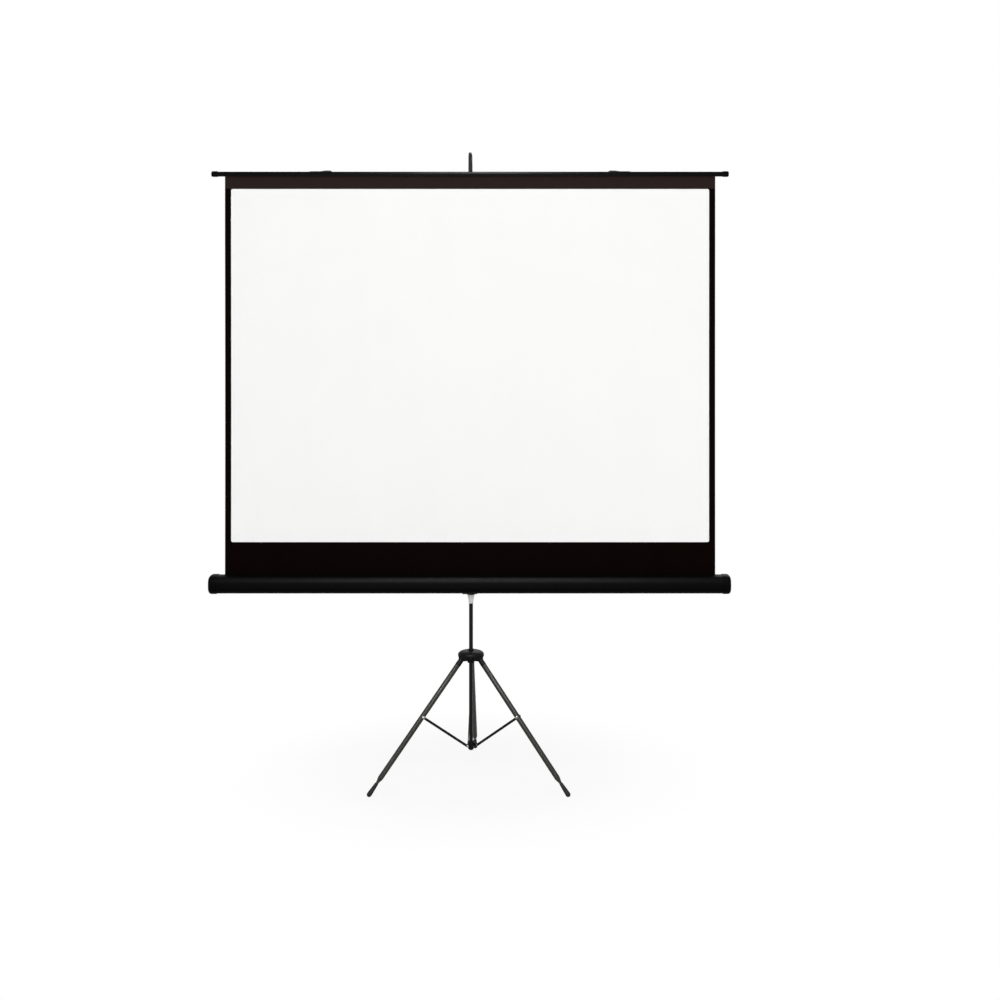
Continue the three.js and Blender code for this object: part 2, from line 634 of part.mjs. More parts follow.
// Light guide bush, a funnel under the sleeve
const bushTop = carriageBottom - FIT;
const funnel = [
  [2 * BUSH_WALL, bushBottom],
  [2 * BUSH_WALL, bushBottom + BUSH_LENGTH * 0.24],
  [2 * BUSH_WALL + 6.5, bushTop - 7],
  [2 * BUSH_WALL + 8, bushTop],
].map(([grow, z]) => uprightRing(ovalShape(OUTER_WIDTH + grow, OUTER_DEPTH + grow), z));
piece(screen, 'carriage_guide_bush', cut(
  loft(funnel), upright(outerSlide, bushBottom - 1, bushTop + 1)), 'nylon');

// Carrying handle: a D-shaped strap behind the sleeve
const handleRoot = CARRIAGE_DEPTH / 2 - FLANGE_GROWTH;
const handleTop = carriageTop - HANDLE_THICK / 2;
const handleFoot = carriageBottom + HANDLE_THICK / 2 + 1;
const handleOut = CARRIAGE_DEPTH / 2 + HANDLE_REACH - HANDLE_THICK / 2;
const handleCurve = new THREE.CurvePath();
const flat = (u, v) => new THREE.Vector2(u, v);
handleCurve.add(new THREE.LineCurve(flat(handleRoot, handleTop), flat(handleOut - 18, handleTop)));
handleCurve.add(new THREE.QuadraticBezierCurve(flat(handleOut - 18, handleTop),
  flat(handleOut, handleTop), flat(handleOut, handleTop - 18)));
handleCurve.add(new THREE.LineCurve(flat(handleOut, handleTop - 18),
  flat(handleOut - 5, handleFoot + 6)));
handleCurve.add(new THREE.QuadraticBezierCurve(flat(handleOut - 5, handleFoot + 6),
  flat(handleOut - 8, handleFoot - HANDLE_DROP), flat(handleOut - 24, handleFoot - HANDLE_DROP * 0.45)));
handleCurve.add(new THREE.LineCurve(flat(handleOut - 24, handleFoot - HANDLE_DROP * 0.45),
  flat(handleRoot, handleFoot)));
const handleSeat = ovalShape(CARRIAGE_WIDTH + 2 * (FLANGE_GROWTH + FIT),
  CARRIAGE_DEPTH + 2 * (FLANGE_GROWTH + FIT), 8);
piece(screen, 'carry_handle', cut(
  across(stripShape(handleCurve, HANDLE_THICK, 30), HANDLE_WIDTH, 2),
  upright(handleSeat, bushBottom, carriageTop + HANDLE_THICK),
), 'plasticBlack');

// Case: drawn housing with a slot along its top for the sheet
const caseShape = (grow) => outline(squareRound(
  CASE_DEPTH + 2 * grow, CASE_HEIGHT + 2 * grow, CASE_SQUARENESS, 44)
  .map(([u, v]) => [u + CASE_AXIS_Y, v + CASE_AXIS_Z]));
const slotTool = new THREE.BoxGeometry(shellLength + 2, SLOT_WIDTH, CASE_HEIGHT / 2)
  .translate(0, slatY, CASE_AXIS_Z + CASE_HEIGHT / 2);
piece(screen, 'case_shell', cut(
  across(caseShape(0), shellLength),
  across(caseShape(-CASE_WALL), shellLength + 2),
  slotTool,
), 'caseBlack');

// Pivot stud, pressed in the carriage and turning in the saddle
const saddleGap = FIT;
const saddleBack = CASE_AXIS_Y + CASE_DEPTH / 2 + saddleGap;
const saddleBossFace = BOSS_FACE_Y - FIT;
piece(screen, 'case_pivot_stud',
  barAlongY(STUD_RADIUS, saddleBack + SADDLE_THICK + FIT, -OUTER_DEPTH / 2 - SLIDE_FIT - FIT, 16)
    .translate(0, 0, CASE_AXIS_Z), 'steel');

// Saddle: hugs the back and the under side of the case, with the boss for the stud
const saddleLid = new THREE.BoxGeometry(SADDLE_LENGTH + 2, CASE_DEPTH * 1.5, CASE_HEIGHT)
  .translate(0, CASE_AXIS_Y, CASE_AXIS_Z + CASE_HEIGHT * 0.78);
const saddleFront = new THREE.BoxGeometry(SADDLE_LENGTH + 2, CASE_DEPTH, CASE_HEIGHT * 2)
  .translate(0, CASE_AXIS_Y - CASE_DEPTH * 0.62, CASE_AXIS_Z);
const saddleBoss = barAlongY(BOSS_RADIUS, saddleBack + SADDLE_THICK / 2, saddleBossFace, 24)
  .translate(0, 0, CASE_AXIS_Z);
const saddleBore = barAlongY(STUD_RADIUS + FIT, saddleBack + SADDLE_THICK, 0, 16)
  .translate(0, 0, CASE_AXIS_Z);
piece(screen, 'case_saddle', cut(
  join(
    cut(across(caseShape(saddleGap + SADDLE_THICK), SADDLE_LENGTH, 1),
      saddleLid, saddleFront),
    saddleBoss,
  ),
  across(caseShape(saddleGap), SADDLE_LENGTH + 4),
  saddleBore,
), 'plasticBlack');

// End caps: cups with a rounded end, a spigot in the shell and a bearing post
const shellEnd = shellLength / 2;
const caseRing = (grow, x) => squareRound(CASE_DEPTH + 2 * grow, CASE_HEIGHT + 2 * grow,
  CASE_SQUARENESS, 24).map(([u, v]) => [x, u + CASE_AXIS_Y, v + CASE_AXIS_Z]);

function roundedEnd(grow, from, to, round, shares = [0.35, 0.65, 0.87, 1]) {
  const rings = [caseRing(grow, from), caseRing(grow, to - round)];
  for (const share of shares) {
    const turn = share * Math.PI / 2;
    rings.push(caseRing(grow - round * (1 - Math.cos(turn)), to - round + round * Math.sin(turn)));
  }
  return loft(rings);
}

const capStart = shellEnd + FIT;
const capEnd = shellEnd + CAP_LENGTH;
const spigotStart = shellEnd - CAP_SPIGOT;
const rollerEnd = rollerLength / 2;
const postStart = rollerEnd + PLUG_FLANGE + 1;
const spigotGrow = -CASE_WALL - FIT;

function caseCap(postRadius) {
  const skin = join(
    roundedEnd(CAP_OVERLAP, capStart, capEnd, CAP_ROUND),
    loft([caseRing(spigotGrow, spigotStart), caseRing(spigotGrow, capStart + 1)]),
  );
  const hollow = roundedEnd(spigotGrow - CAP_WALL, spigotStart - 1, capEnd - CAP_WALL, CAP_ROUND - 2,
    [0.5, 1]);
  const post = barAlongX(postRadius + CAP_WALL, postStart, capEnd - CAP_WALL / 2, 16)
    .translate(0, rollerY, CASE_AXIS_Z);
  const socket = barAlongX(postRadius + FIT, postStart - 1, postStart + ROLLER_PIN_REACH + 1, 16)
    .translate(0, rollerY, CASE_AXIS_Z);
  const sheetSlot = new THREE.BoxGeometry(CAP_SPIGOT * 2, SLOT_WIDTH, CASE_HEIGHT / 2)
    .translate(shellEnd - CAP_SPIGOT, slatY, CASE_AXIS_Z + CASE_HEIGHT / 2);
  return cut(join(cut(skin, hollow), post), socket, sheetSlot);
}

const capRight = caseCap(ROLLER_PIN_RADIUS);
piece(screen, 'case_cap_right', capRight, 'plasticBlack');
const capTurn = new THREE.Matrix4().makeScale(-1, 1, 1);

// Mirror image of a closed mesh, with its faces turned out again
function mirrored(geometry) {
  const copy = geometry.clone().applyMatrix4(capTurn);
  const index = copy.index.array;
  for (let i = 0; i < index.length; i += 3) {
    const first = index[i];
    index[i] = index[i + 2];
    index[i + 2] = first;
  }
  copy.computeVertexNormals();
  return copy;
}

piece(screen, 'case_cap_left', mirrored(capRight), 'plasticBlack');

// Roller inside the case, with its end plugs and the last wraps of the sheet
const rollerAt = (geometry) => geometry.translate(0, rollerY, CASE_AXIS_Z);
const rollerBore = ROLLER_RADIUS - ROLLER_WALL;
piece(screen, 'roller_tube', rollerAt(cut(
  barAlongX(ROLLER_RADIUS, -rollerEnd, rollerEnd, 24),
  barAlongX(rollerBore, -rollerEnd - 1, rollerEnd + 1, 24),
)), 'steel');
const plugRight = join(
  barAlongX(rollerBore - FIT, rollerEnd - PLUG_DEPTH, rollerEnd + 1, 20),
  barAlongX(ROLLER_RADIUS, rollerEnd + FIT, rollerEnd + PLUG_FLANGE, 20),
  barAlongX(ROLLER_PIN_RADIUS, rollerEnd, postStart + ROLLER_PIN_REACH, 14),
);
piece(screen, 'roller_plug_right', rollerAt(plugRight), 'plasticBlack');
const plugLeft = cut(
  join(
    barAlongX(rollerBore - FIT, -rollerEnd - 1, -rollerEnd + PLUG_DEPTH, 20),
    barAlongX(ROLLER_RADIUS, -rollerEnd - PLUG_FLANGE, -rollerEnd - FIT, 20),
  ),
  barAlongX(ROLLER_PIN_RADIUS + FIT, -rollerEnd - 20, -rollerEnd + PLUG_DEPTH + 1, 14),
);
piece(screen, 'roller_plug_left', rollerAt(plugLeft), 'plasticBlack');

const wrapSteps = 40;
const wrapOut = [];
const wrapIn = [];
for (let i = 0; i <= wrapSteps; i++) {
  const share = i / wrapSteps;
  const turn = share * WRAP_TURNS * 2 * Math.PI;
  const radius = wrapInner + WRAP_PITCH * WRAP_TURNS * share;
  wrapIn.push([radius * Math.cos(turn), radius * Math.sin(turn)]);
  wrapOut.push([(radius + WRAP_THICK) * Math.cos(turn), (radius + WRAP_THICK) * Math.sin(turn)]);
}
piece(screen, 'roller_safety_wraps',
  rollerAt(across(outline([...wrapOut, ...wrapIn.reverse()]), sheetWidth)), 'mask');

// Fixed spring rod from the left cap, with the torsion spring wound on it
const springStart = -rollerEnd + PLUG_DEPTH + 6;
const springLength = SPRING_TURNS * SPRING_PITCH;
piece(screen, 'spring_rod', rollerAt(barAlongX(ROLLER_PIN_RADIUS,
  -postStart - ROLLER_PIN_REACH, springStart + springLength + 12, 14)), 'steel');
const springRadius = ROLLER_PIN_RADIUS + FIT + 0.2 + SPRING_WIRE / 2;
const stepsPerTurn = 8;
const wireSides = 5;
const wireRings = [];
for (let i = 0; i <= SPRING_TURNS * stepsPerTurn; i++) {
  const turn = 2 * Math.PI * i / stepsPerTurn;
  const x = springStart + SPRING_PITCH * i / stepsPerTurn;
  const ring = [];
  for (let side = 0; side < wireSides; side++) {
    const at = 2 * Math.PI * side / wireSides;
    const radius = springRadius + SPRING_WIRE / 2 * Math.cos(at);
    ring.push([x - SPRING_WIRE / 2 * Math.sin(at), radius * Math.cos(turn), radius * Math.sin(turn)]);
  }
  wireRings.push(ring);
}
piece(screen, 'torsion_spring', rollerAt(loft(wireRings)), 'steel');

// Picture sheet: black backing from roller to slat, white face in front of it
const sheetBottom = CASE_AXIS_Z;
const sheetTop = slatBottom + SLAT_GROOVE_DEPTH - FIT;
piece(screen, 'screen_mask_sheet',
  new THREE.BoxGeometry(sheetWidth, SHEET_THICK, sheetTop - sheetBottom)
    .translate(0, (sheetFront + sheetBack) / 2, (sheetTop + sheetBottom) / 2), 'mask');
const whiteShape = roundedShape(WHITE_WIDTH, WHITE_HEIGHT, WHITE_CORNER);
piece(screen, 'screen_white_face', extrude(whiteShape, WHITE_FACE).rotateX(Math.PI / 2)
  .translate(0, sheetFront - FIT, WHITE_BOTTOM_Z + WHITE_HEIGHT / 2), 'white');

// Slat: bar with an arched top and a groove for the hem of the sheet
const grooveHalf = SHEET_THICK / 2 + FIT;
const slatHalf = SLAT_DEPTH / 2;
const slatShape = new THREE.Shape();
slatShape.moveTo(slatY + grooveHalf, slatBottom);
slatShape.lineTo(slatY + slatHalf, slatBottom);
slatShape.lineTo(slatY + slatHalf, slatTop - SLAT_ROUND);
slatShape.absellipse(slatY, slatTop - SLAT_ROUND, slatHalf, SLAT_ROUND, 0, Math.PI);
slatShape.lineTo(slatY - slatHalf, slatBottom);
slatShape.lineTo(slatY - grooveHalf, slatBottom);
slatShape.lineTo(slatY - grooveHalf, slatBottom + SLAT_GROOVE_DEPTH);
slatShape.lineTo(slatY + grooveHalf, slatBottom + SLAT_GROOVE_DEPTH);
piece(screen, 'slat_bar', across(slatShape, slatLength), 'caseBlack');

// Rounded knobs on the slat's ends, and two low pads on its top
const slatEnd = slatLength / 2;
const slatMidZ = (slatBottom + slatTop) / 2;
const knobRing = (grow, x) => squareRound(SLAT_DEPTH + 2 * grow, SLAT_HEIGHT + 2 * grow, 3.5, 20)
  .map(([u, v]) => [x, u + slatY, v + slatMidZ]);
const knobEnd = slatEnd + SLAT_CAP_LENGTH;
const slatKnob = loft([
  knobRing(SLAT_CAP_OVERLAP - 0.8, slatEnd + FIT), knobRing(SLAT_CAP_OVERLAP, slatEnd + 2),
  knobRing(SLAT_CAP_OVERLAP, knobEnd - 6), knobRing(SLAT_CAP_OVERLAP - 1.6, knobEnd - 2),
  knobRing(SLAT_CAP_OVERLAP - 4.6, knobEnd),
]);
piece(screen, 'slat_knob_right', slatKnob, 'plasticBlack');
piece(screen, 'slat_knob_left', mirrored(slatKnob), 'plasticBlack');
const padBase = slatTop + FIT;
const padShape = new THREE.Shape();
padShape.moveTo(-PAD_LENGTH / 2, padBase);
padShape.lineTo(PAD_LENGTH / 2, padBase);
padShape.quadraticCurveTo(PAD_LENGTH / 2 - 3, padBase + PAD_HEIGHT, PAD_LENGTH / 2 - 9, padBase + PAD_HEIGHT);
padShape.lineTo(-PAD_LENGTH / 2 + 9, padBase + PAD_HEIGHT);
padShape.quadraticCurveTo(-PAD_LENGTH / 2 + 3, padBase + PAD_HEIGHT, -PAD_LENGTH / 2, padBase);
const padHalf = slatHalf - 4;
for (const [name, side] of [['left', -1], ['right', 1]]) {
  piece(screen, `slat_pad_${name}`, beside(padShape, slatY - padHalf, slatY + padHalf)
    .translate(side * PAD_SPACING / 2, 0, 0), 'plasticBlack');
}

// Extension: inner tube with a stop shoe and the gooseneck bracket
const innerTube = ovalShape(INNER_WIDTH, INNER_DEPTH);
const innerHole = [INNER_WIDTH - 2 * INNER_WALL, INNER_DEPTH - 2 * INNER_WALL];
innerTube.holes.push(ovalShape(...innerHole));
const rivetZ = bracketBottom - SPIGOT_LENGTH * 0.55;
const rivetBore = barAlongX(BRACKET_RIVET_RADIUS + FIT, -INNER_WIDTH, INNER_WIDTH, 12)
  .translate(0, 0, rivetZ);
piece(screen, 'mast_inner_tube',
  cut(upright(innerTube, INNER_BOTTOM_Z, innerTop), rivetBore), 'tubeBlack');
piece(screen, 'inner_tube_stop', join(
  upright(ovalShape(INNER_WIDTH + 0.4, INNER_DEPTH + 0.4), INNER_BOTTOM_Z - 6, INNER_BOTTOM_Z - FIT),
  upright(ovalShape(innerHole[0] - 2 * FIT, innerHole[1] - 2 * FIT),
    INNER_BOTTOM_Z - 1, INNER_BOTTOM_Z + STOP_SHOE_LENGTH),
), 'nylon');

const neckHalf = INNER_DEPTH / 2 + 1;
const armBottom = bracketTop - ARM_THICK;
const lipBack = -BRACKET_REACH + LIP_WIDTH;
const notchBack = lipBack + NOTCH_WIDTH;
const notchFloor = bracketTop - NOTCH_DEPTH;
const bracketShape = new THREE.Shape();
bracketShape.moveTo(-neckHalf + 1, bracketBottom);
bracketShape.lineTo(neckHalf - 1, bracketBottom);
bracketShape.lineTo(neckHalf + 1.5, bracketTop - 14);
bracketShape.quadraticCurveTo(neckHalf + 1, bracketTop, neckHalf - 11, bracketTop);
bracketShape.lineTo(notchBack + 3, bracketTop);
bracketShape.lineTo(notchBack, notchFloor + 2);
bracketShape.lineTo(notchBack - 2, notchFloor);
bracketShape.lineTo(lipBack + 1, notchFloor);
bracketShape.lineTo(lipBack - 1, bracketTop - 3);
bracketShape.lineTo(-BRACKET_REACH + 3, bracketTop - 3);
bracketShape.lineTo(-BRACKET_REACH, bracketTop - 9);
bracketShape.lineTo(-BRACKET_REACH + 4, armBottom + 2);
bracketShape.quadraticCurveTo(-neckHalf - 6, armBottom + 2, -neckHalf, bracketBottom + 16);
const spigot = upright(ovalShape(innerHole[0] - 2 * FIT, innerHole[1] - 2 * FIT),
  bracketBottom - SPIGOT_LENGTH, bracketBottom + 2);
piece(screen, 'top_bracket',
  cut(join(across(bracketShape, BRACKET_WIDTH, 1), spigot), rivetBore), 'plasticBlack');
piece(screen, 'bracket_rivet', barAlongX(BRACKET_RIVET_RADIUS,
  -INNER_WIDTH / 2 - 0.2, INNER_WIDTH / 2 + 0.2, 12).translate(0, 0, rivetZ), 'zinc');

// Hanger strap: foot on the slat's back, hook over the bracket's lip
const strapFront = slatBack + FIT;
const strapTop = bracketTop + 2.5;
const strapHook = (lipBack + notchBack) / 2 + 1.5;
const strapDrop = notchFloor + FIT + 0.5;
const strapShape = outline([
  [strapFront, slatBottom + 1], [strapFront + STRAP_THICK, slatBottom + 1],
  [strapFront + STRAP_THICK, strapTop - STRAP_THICK], [strapHook - STRAP_THICK, strapTop - STRAP_THICK],
  [strapHook - STRAP_THICK, strapDrop], [strapHook, strapDrop], [strapHook, strapTop - 1.5],
  [strapHook - 1.5, strapTop], [strapFront + 1.5, strapTop], [strapFront, strapTop - 1.5],
]);
const footShape = outline([
  [-STRAP_FOOT_WIDTH / 2, slatBottom + 1], [STRAP_FOOT_WIDTH / 2, slatBottom + 1],
  [STRAP_FOOT_WIDTH / 2, slatTop - 5], [STRAP_WIDTH / 2 - 1, slatTop - 1],
  [-STRAP_WIDTH / 2 + 1, slatTop - 1], [-STRAP_FOOT_WIDTH / 2, slatTop - 5],
]);
piece(screen, 'hanger_strap', join(
  across(strapShape, STRAP_WIDTH),
  beside(footShape, strapFront, strapFront + STRAP_THICK),
), 'steel');

// Stand the part on its feet, over the middle of its own footprint
const footprint = new THREE.Box3().setFromObject(screen, true);
screen.position.y = -(footprint.min.y + footprint.max.y) / 2;
screen.updateMatrixWorld(true);

export default screen;
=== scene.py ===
import json
import math

import bpy
import numpy as np
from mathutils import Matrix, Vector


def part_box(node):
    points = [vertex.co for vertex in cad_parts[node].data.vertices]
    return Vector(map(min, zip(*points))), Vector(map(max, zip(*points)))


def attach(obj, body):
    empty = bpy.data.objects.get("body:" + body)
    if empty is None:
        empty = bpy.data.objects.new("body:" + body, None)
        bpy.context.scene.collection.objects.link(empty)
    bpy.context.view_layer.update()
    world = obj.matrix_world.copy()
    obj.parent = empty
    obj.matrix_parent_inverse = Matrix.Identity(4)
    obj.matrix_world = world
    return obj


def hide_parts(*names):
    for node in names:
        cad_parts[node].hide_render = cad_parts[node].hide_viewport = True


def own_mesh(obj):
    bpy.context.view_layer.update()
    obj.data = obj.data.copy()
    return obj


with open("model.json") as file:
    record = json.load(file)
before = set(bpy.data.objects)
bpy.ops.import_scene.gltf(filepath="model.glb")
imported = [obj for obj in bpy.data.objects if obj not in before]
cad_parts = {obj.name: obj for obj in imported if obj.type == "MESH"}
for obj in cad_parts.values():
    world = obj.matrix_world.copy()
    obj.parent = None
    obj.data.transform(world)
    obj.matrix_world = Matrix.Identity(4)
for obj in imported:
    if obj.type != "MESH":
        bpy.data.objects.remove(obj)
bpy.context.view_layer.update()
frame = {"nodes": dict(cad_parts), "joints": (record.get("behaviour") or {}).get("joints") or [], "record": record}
scene = bpy.context.scene
scene.view_settings.view_transform = "Standard"

# Viewpoint: a level camera in front of the picture plane, raised to about eye height.
# Its image plane stays parallel to the picture, so upright edges stay upright.
eye_right, eye_distance, eye_height = 0.21, 5.0, 1.55
picture_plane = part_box("screen_mask_sheet")[0].y
lens = bpy.data.cameras.new("viewpoint")
lens.lens = 50.4
lens.sensor_width = 36
lens.shift_x = -0.0289
lens.shift_y = -0.148
viewpoint = bpy.data.objects.new("viewpoint", lens)
viewpoint.location = (eye_right, picture_plane - eye_distance, eye_height)
viewpoint.rotation_euler = (math.pi / 2, 0, 0)
scene.collection.objects.link(viewpoint)
scene.camera = viewpoint


# Studio: a wide pale floor that melts into a white room, lit by five soft lamps round the object.
# The floor keeps a light shadow near the feet and turns plain white further out. Two strips close to the
# object only show as a sheen, along the case and in the middle of the slat.
def joined(tree, kind, **inputs):
    """Adds one shader node and sets its inputs, each a plain value or another node's socket."""
    node = tree.nodes.new(kind)
    for name, value in inputs.items():
        key = int(name[1:]) if name[1:].isdigit() else name.replace("_", " ")
        socket = node.inputs[key]
        if isinstance(value, bpy.types.NodeSocket):
            tree.links.new(value, socket)
        else:
            socket.default_value = value
    return node


def seen_directly(tree):
    """One where a ray comes from the camera, a reflection or a clear body, zero for scattered light."""
    path = tree.nodes.new("ShaderNodeLightPath")
    first = joined(tree, "ShaderNodeMath", _0=path.outputs["Is Camera Ray"], _1=path.outputs["Is Glossy Ray"])
    first.operation = "MAXIMUM"
    both = joined(tree, "ShaderNodeMath", _0=first.outputs[0], _1=path.outputs["Is Transmission Ray"])
    both.operation = "MAXIMUM"
    return both.outputs[0]


room = bpy.data.worlds.new("white_room")
scene.world = room
room.use_nodes = True
air = room.node_tree
air.nodes.clear()
white_air = joined(air, "ShaderNodeBackground", Color=(1, 1, 1, 1), Strength=1.0)
soft_air = joined(air, "ShaderNodeBackground", Color=(1, 1, 1, 1), Strength=0.5)
mixed_air = joined(air, "ShaderNodeMixShader", Fac=seen_directly(air),
                   _1=soft_air.outputs[0], _2=white_air.outputs[0])
joined(air, "ShaderNodeOutputWorld", Surface=mixed_air.outputs[0])

floor_half, floor_grey = 20, 0.82
shadow_near, shadow_far, least_white = 0.3, 1.0, 0.87
floor_paint = bpy.data.materials.new("pale_floor")
floor_paint.use_nodes = True
tree = floor_paint.node_tree
tree.nodes.clear()
spot = tree.nodes.new("ShaderNodeTexCoord")
reach = joined(tree, "ShaderNodeVectorMath", _0=spot.outputs["Object"])
reach.operation = "LENGTH"
fade = joined(tree, "ShaderNodeMapRange", _0=reach.outputs["Value"], _1=shadow_near, _2=shadow_far,
              _3=least_white, _4=1.0)
fade.interpolation_type = "SMOOTHSTEP"
whiten = joined(tree, "ShaderNodeMath", _0=fade.outputs[0], _1=seen_directly(tree))
whiten.operation = "MULTIPLY"
matt = joined(tree, "ShaderNodeBsdfDiffuse", Color=(floor_grey, floor_grey, floor_grey, 1))
glow = joined(tree, "ShaderNodeEmission", Color=(1, 1, 1, 1), Strength=1.0)
blend = joined(tree, "ShaderNodeMixShader", Fac=whiten.outputs[0], _1=matt.outputs[0], _2=glow.outputs[0])
joined(tree, "ShaderNodeOutputMaterial", Surface=blend.outputs[0])
floor_mesh = bpy.data.meshes.new("floor")
floor_corners = [(-floor_half, -floor_half, 0), (floor_half, -floor_half, 0),
                 (floor_half, floor_half, 0), (-floor_half, floor_half, 0)]
floor_mesh.from_pydata(floor_corners, [], [(0, 1, 2, 3)])
floor_mesh.materials.append(floor_paint)
floor = bpy.data.objects.new("floor", floor_mesh)
scene.collection.objects.link(floor)

for name, place, aim, wide, power in [
    ("overhead_strip", (-0.14, -1.9, 4.2), (0, -0.1, 1.2), (0.8, 0.12), 13.0),
    ("front_box", (-0.3, -5.6, 2.4), (0, -0.1, 1.0), (3.0, 0.8), 73.0),
    ("left_box", (-3.6, -3.6, 1.3), (0, -0.1, 1.2), (1.6, 1.8), 27.0),
    ("right_box", (3.6, -3.6, 1.3), (0, -0.1, 1.2), (1.6, 1.8), 46.0),
    ("rear_box", (0.6, 3.4, 3.0), (0, 0, 1.0), (3.0, 1.6), 40.0),
    ("case_sheen", (-0.1, -1.6, 1.6), (0, -0.13, 0.75), (1.4, 0.45), 90.0),
    ("slat_sheen", (-0.02, -1.1, 3.4), (0, -0.1, 2.2), (0.4, 0.8), 150.0),
]:
    lamp = bpy.data.lights.new(name, "AREA")
    lamp.shape = "RECTANGLE"
    lamp.size, lamp.size_y = wide
    lamp.energy = power
    holder = bpy.data.objects.new(name, lamp)
    holder.location = place
    line = holder.location.copy()
    line.x, line.y, line.z = (aim[k] - place[k] for k in range(3))
    holder.rotation_euler = line.to_track_quat("-Z", "Y").to_euler()
    holder.visible_camera = False
    holder.visible_diffuse = not name.endswith("sheen")
    scene.collection.objects.link(holder)


# Mast: a drawn flat-oval steel tube in satin black, open at both ends, standing in the foot hub.
# The clamp collar is fixed at its top, and the crown and the carriage slide over its paint.
def mixed(tree, share, first, second):
    """Colour from the first to the second by a share, each of them a plain colour or a socket."""
    node = tree.nodes.new("ShaderNodeMix")
    node.data_type = "RGBA"
    tree.links.new(share, node.inputs["Factor"])
    for socket, colour in ((node.inputs[6], first), (node.inputs[7], second)):
        if isinstance(colour, bpy.types.NodeSocket):
            tree.links.new(colour, socket)
        else:
            socket.default_value = (*colour, 1)
    return node.outputs[2]


def coat(name, colour, rough, metal=0.0, shine=0.5, cloud=0.14, grain=1500.0, depth=0.12, streak=0.0):
    """Even finish: a broad cloud varies the colour, a finer one the gloss, and a fine grain the relief.
    Streak adds long lines that follow the piece's own map, as on a drawn tube."""
    look = bpy.data.materials.new(name)
    look.use_nodes = True
    tree = look.node_tree
    tree.nodes.clear()
    spot = tree.nodes.new("ShaderNodeTexCoord")
    broad = joined(tree, "ShaderNodeTexNoise", Vector=spot.outputs["Object"], Scale=11.0, Detail=5.0)
    fine = joined(tree, "ShaderNodeTexNoise", Vector=spot.outputs["Object"], Scale=70.0, Detail=4.0)
    dots = joined(tree, "ShaderNodeTexNoise", Vector=spot.outputs["Object"], Scale=grain, Detail=2.0)
    dark = [channel * (1 - cloud) for channel in colour]
    pale = [channel * (1 + cloud) for channel in colour]
    tint = mixed(tree, broad.outputs["Fac"], dark, pale)
    gloss = joined(tree, "ShaderNodeMapRange", _0=fine.outputs["Fac"], _1=0.3, _2=0.7,
                   _3=rough - 0.06, _4=rough + 0.06)
    relief = joined(tree, "ShaderNodeBump", Height=dots.outputs["Fac"], Strength=depth, Distance=0.0004)
    gloss_out, relief_out = gloss.outputs[0], relief.outputs[0]
    if streak:
        stretch = joined(tree, "ShaderNodeMapping", Vector=spot.outputs["UV"], Scale=(1600.0, 9.0, 1.0))
        lines = joined(tree, "ShaderNodeTexNoise", Vector=stretch.outputs[0], Scale=1.0, Detail=3.0)
        drawn = joined(tree, "ShaderNodeBump", Height=lines.outputs["Fac"], Strength=streak, Distance=0.0003,
                       Normal=relief_out)
        share = joined(tree, "ShaderNodeMapRange", _0=lines.outputs["Fac"], _1=0.3, _2=0.7, _3=-0.07, _4=0.07)
        total = joined(tree, "ShaderNodeMath", _0=gloss_out, _1=share.outputs[0])
        gloss_out, relief_out = total.outputs[0], drawn.outputs[0]
    body = joined(tree, "ShaderNodeBsdfPrincipled", Base_Color=tint, Roughness=gloss_out,
                  Normal=relief_out, Metallic=metal, Specular_IOR_Level=shine)
    joined(tree, "ShaderNodeOutputMaterial", Surface=body.outputs[0])
    return look


def skin(name, rows, loop=False, crease=38.0):
    """Closed surface over rows[i, j]: a four-sided face between neighbouring points, with the last column
    joined to the first. A loop also joins the last row to the first, and otherwise both end rows are closed
    flat. The map holds metres run."""
    count, around = rows.shape[:2]
    i = np.arange(count if loop else count - 1)[:, None]
    j = np.arange(around)[None, :]
    up, on = (i + 1) % count, (j + 1) % around
    quads = np.stack([i * around + j, i * around + on, up * around + on, up * around + j], -1).reshape(-1, 4)
    across = np.r_[0, np.cumsum(np.linalg.norm(np.diff(rows[0], axis=0, append=rows[0][:1]), axis=1))]
    along = np.linalg.norm(np.diff(rows, axis=0, append=rows[:1]), axis=2).mean(1)
    along = np.r_[0, np.cumsum(along)]
    i, j = np.broadcast_arrays(i, j)
    map_u = np.stack([across[j], across[j + 1], across[j + 1], across[j]], -1).reshape(-1, 4)
    map_v = np.stack([along[i], along[i], along[i + 1], along[i + 1]], -1).reshape(-1, 4)
    points = rows.reshape(-1, 3)
    corner = points[quads]
    volume = np.einsum("ij,ij->i", corner[:, 0], np.cross(corner[:, 1], corner[:, 2])).sum()
    volume += np.einsum("ij,ij->i", corner[:, 0], np.cross(corner[:, 2], corner[:, 3])).sum()
    lids = []
    if not loop:
        lids = [np.arange(around)[::-1], np.arange((count - 1) * around, count * around)]
    for lid in lids:
        fan = points[lid]
        volume += np.einsum("ij,ij->i", np.broadcast_to(fan[0], fan[1:-1].shape),
                            np.cross(fan[1:-1], fan[2:])).sum()
    turn = slice(None, None, -1) if volume < 0 else slice(None)
    faces = [face[turn] for face in quads.tolist()] + [lid[turn].tolist() for lid in lids]
    mesh = bpy.data.meshes.new(name)
    mesh.from_pydata(points.tolist(), [], faces)
    run = mesh.uv_layers.new(name="run")
    pairs = [np.stack([map_u[:, turn], map_v[:, turn]], -1).reshape(-1, 2)]
    for lid in lids:
        height = np.full(around, along[lid[0] // around])
        pairs.append(np.stack([across[lid % around], height], -1)[turn])
    run.data.foreach_set("uv", np.concatenate(pairs).ravel())
    mesh.polygons.foreach_set("use_smooth", np.ones(len(mesh.polygons), bool))
    mesh.set_sharp_from_angle(angle=math.radians(crease))
    piece = bpy.data.objects.new(name, mesh)
    scene.collection.objects.link(piece)
    return piece


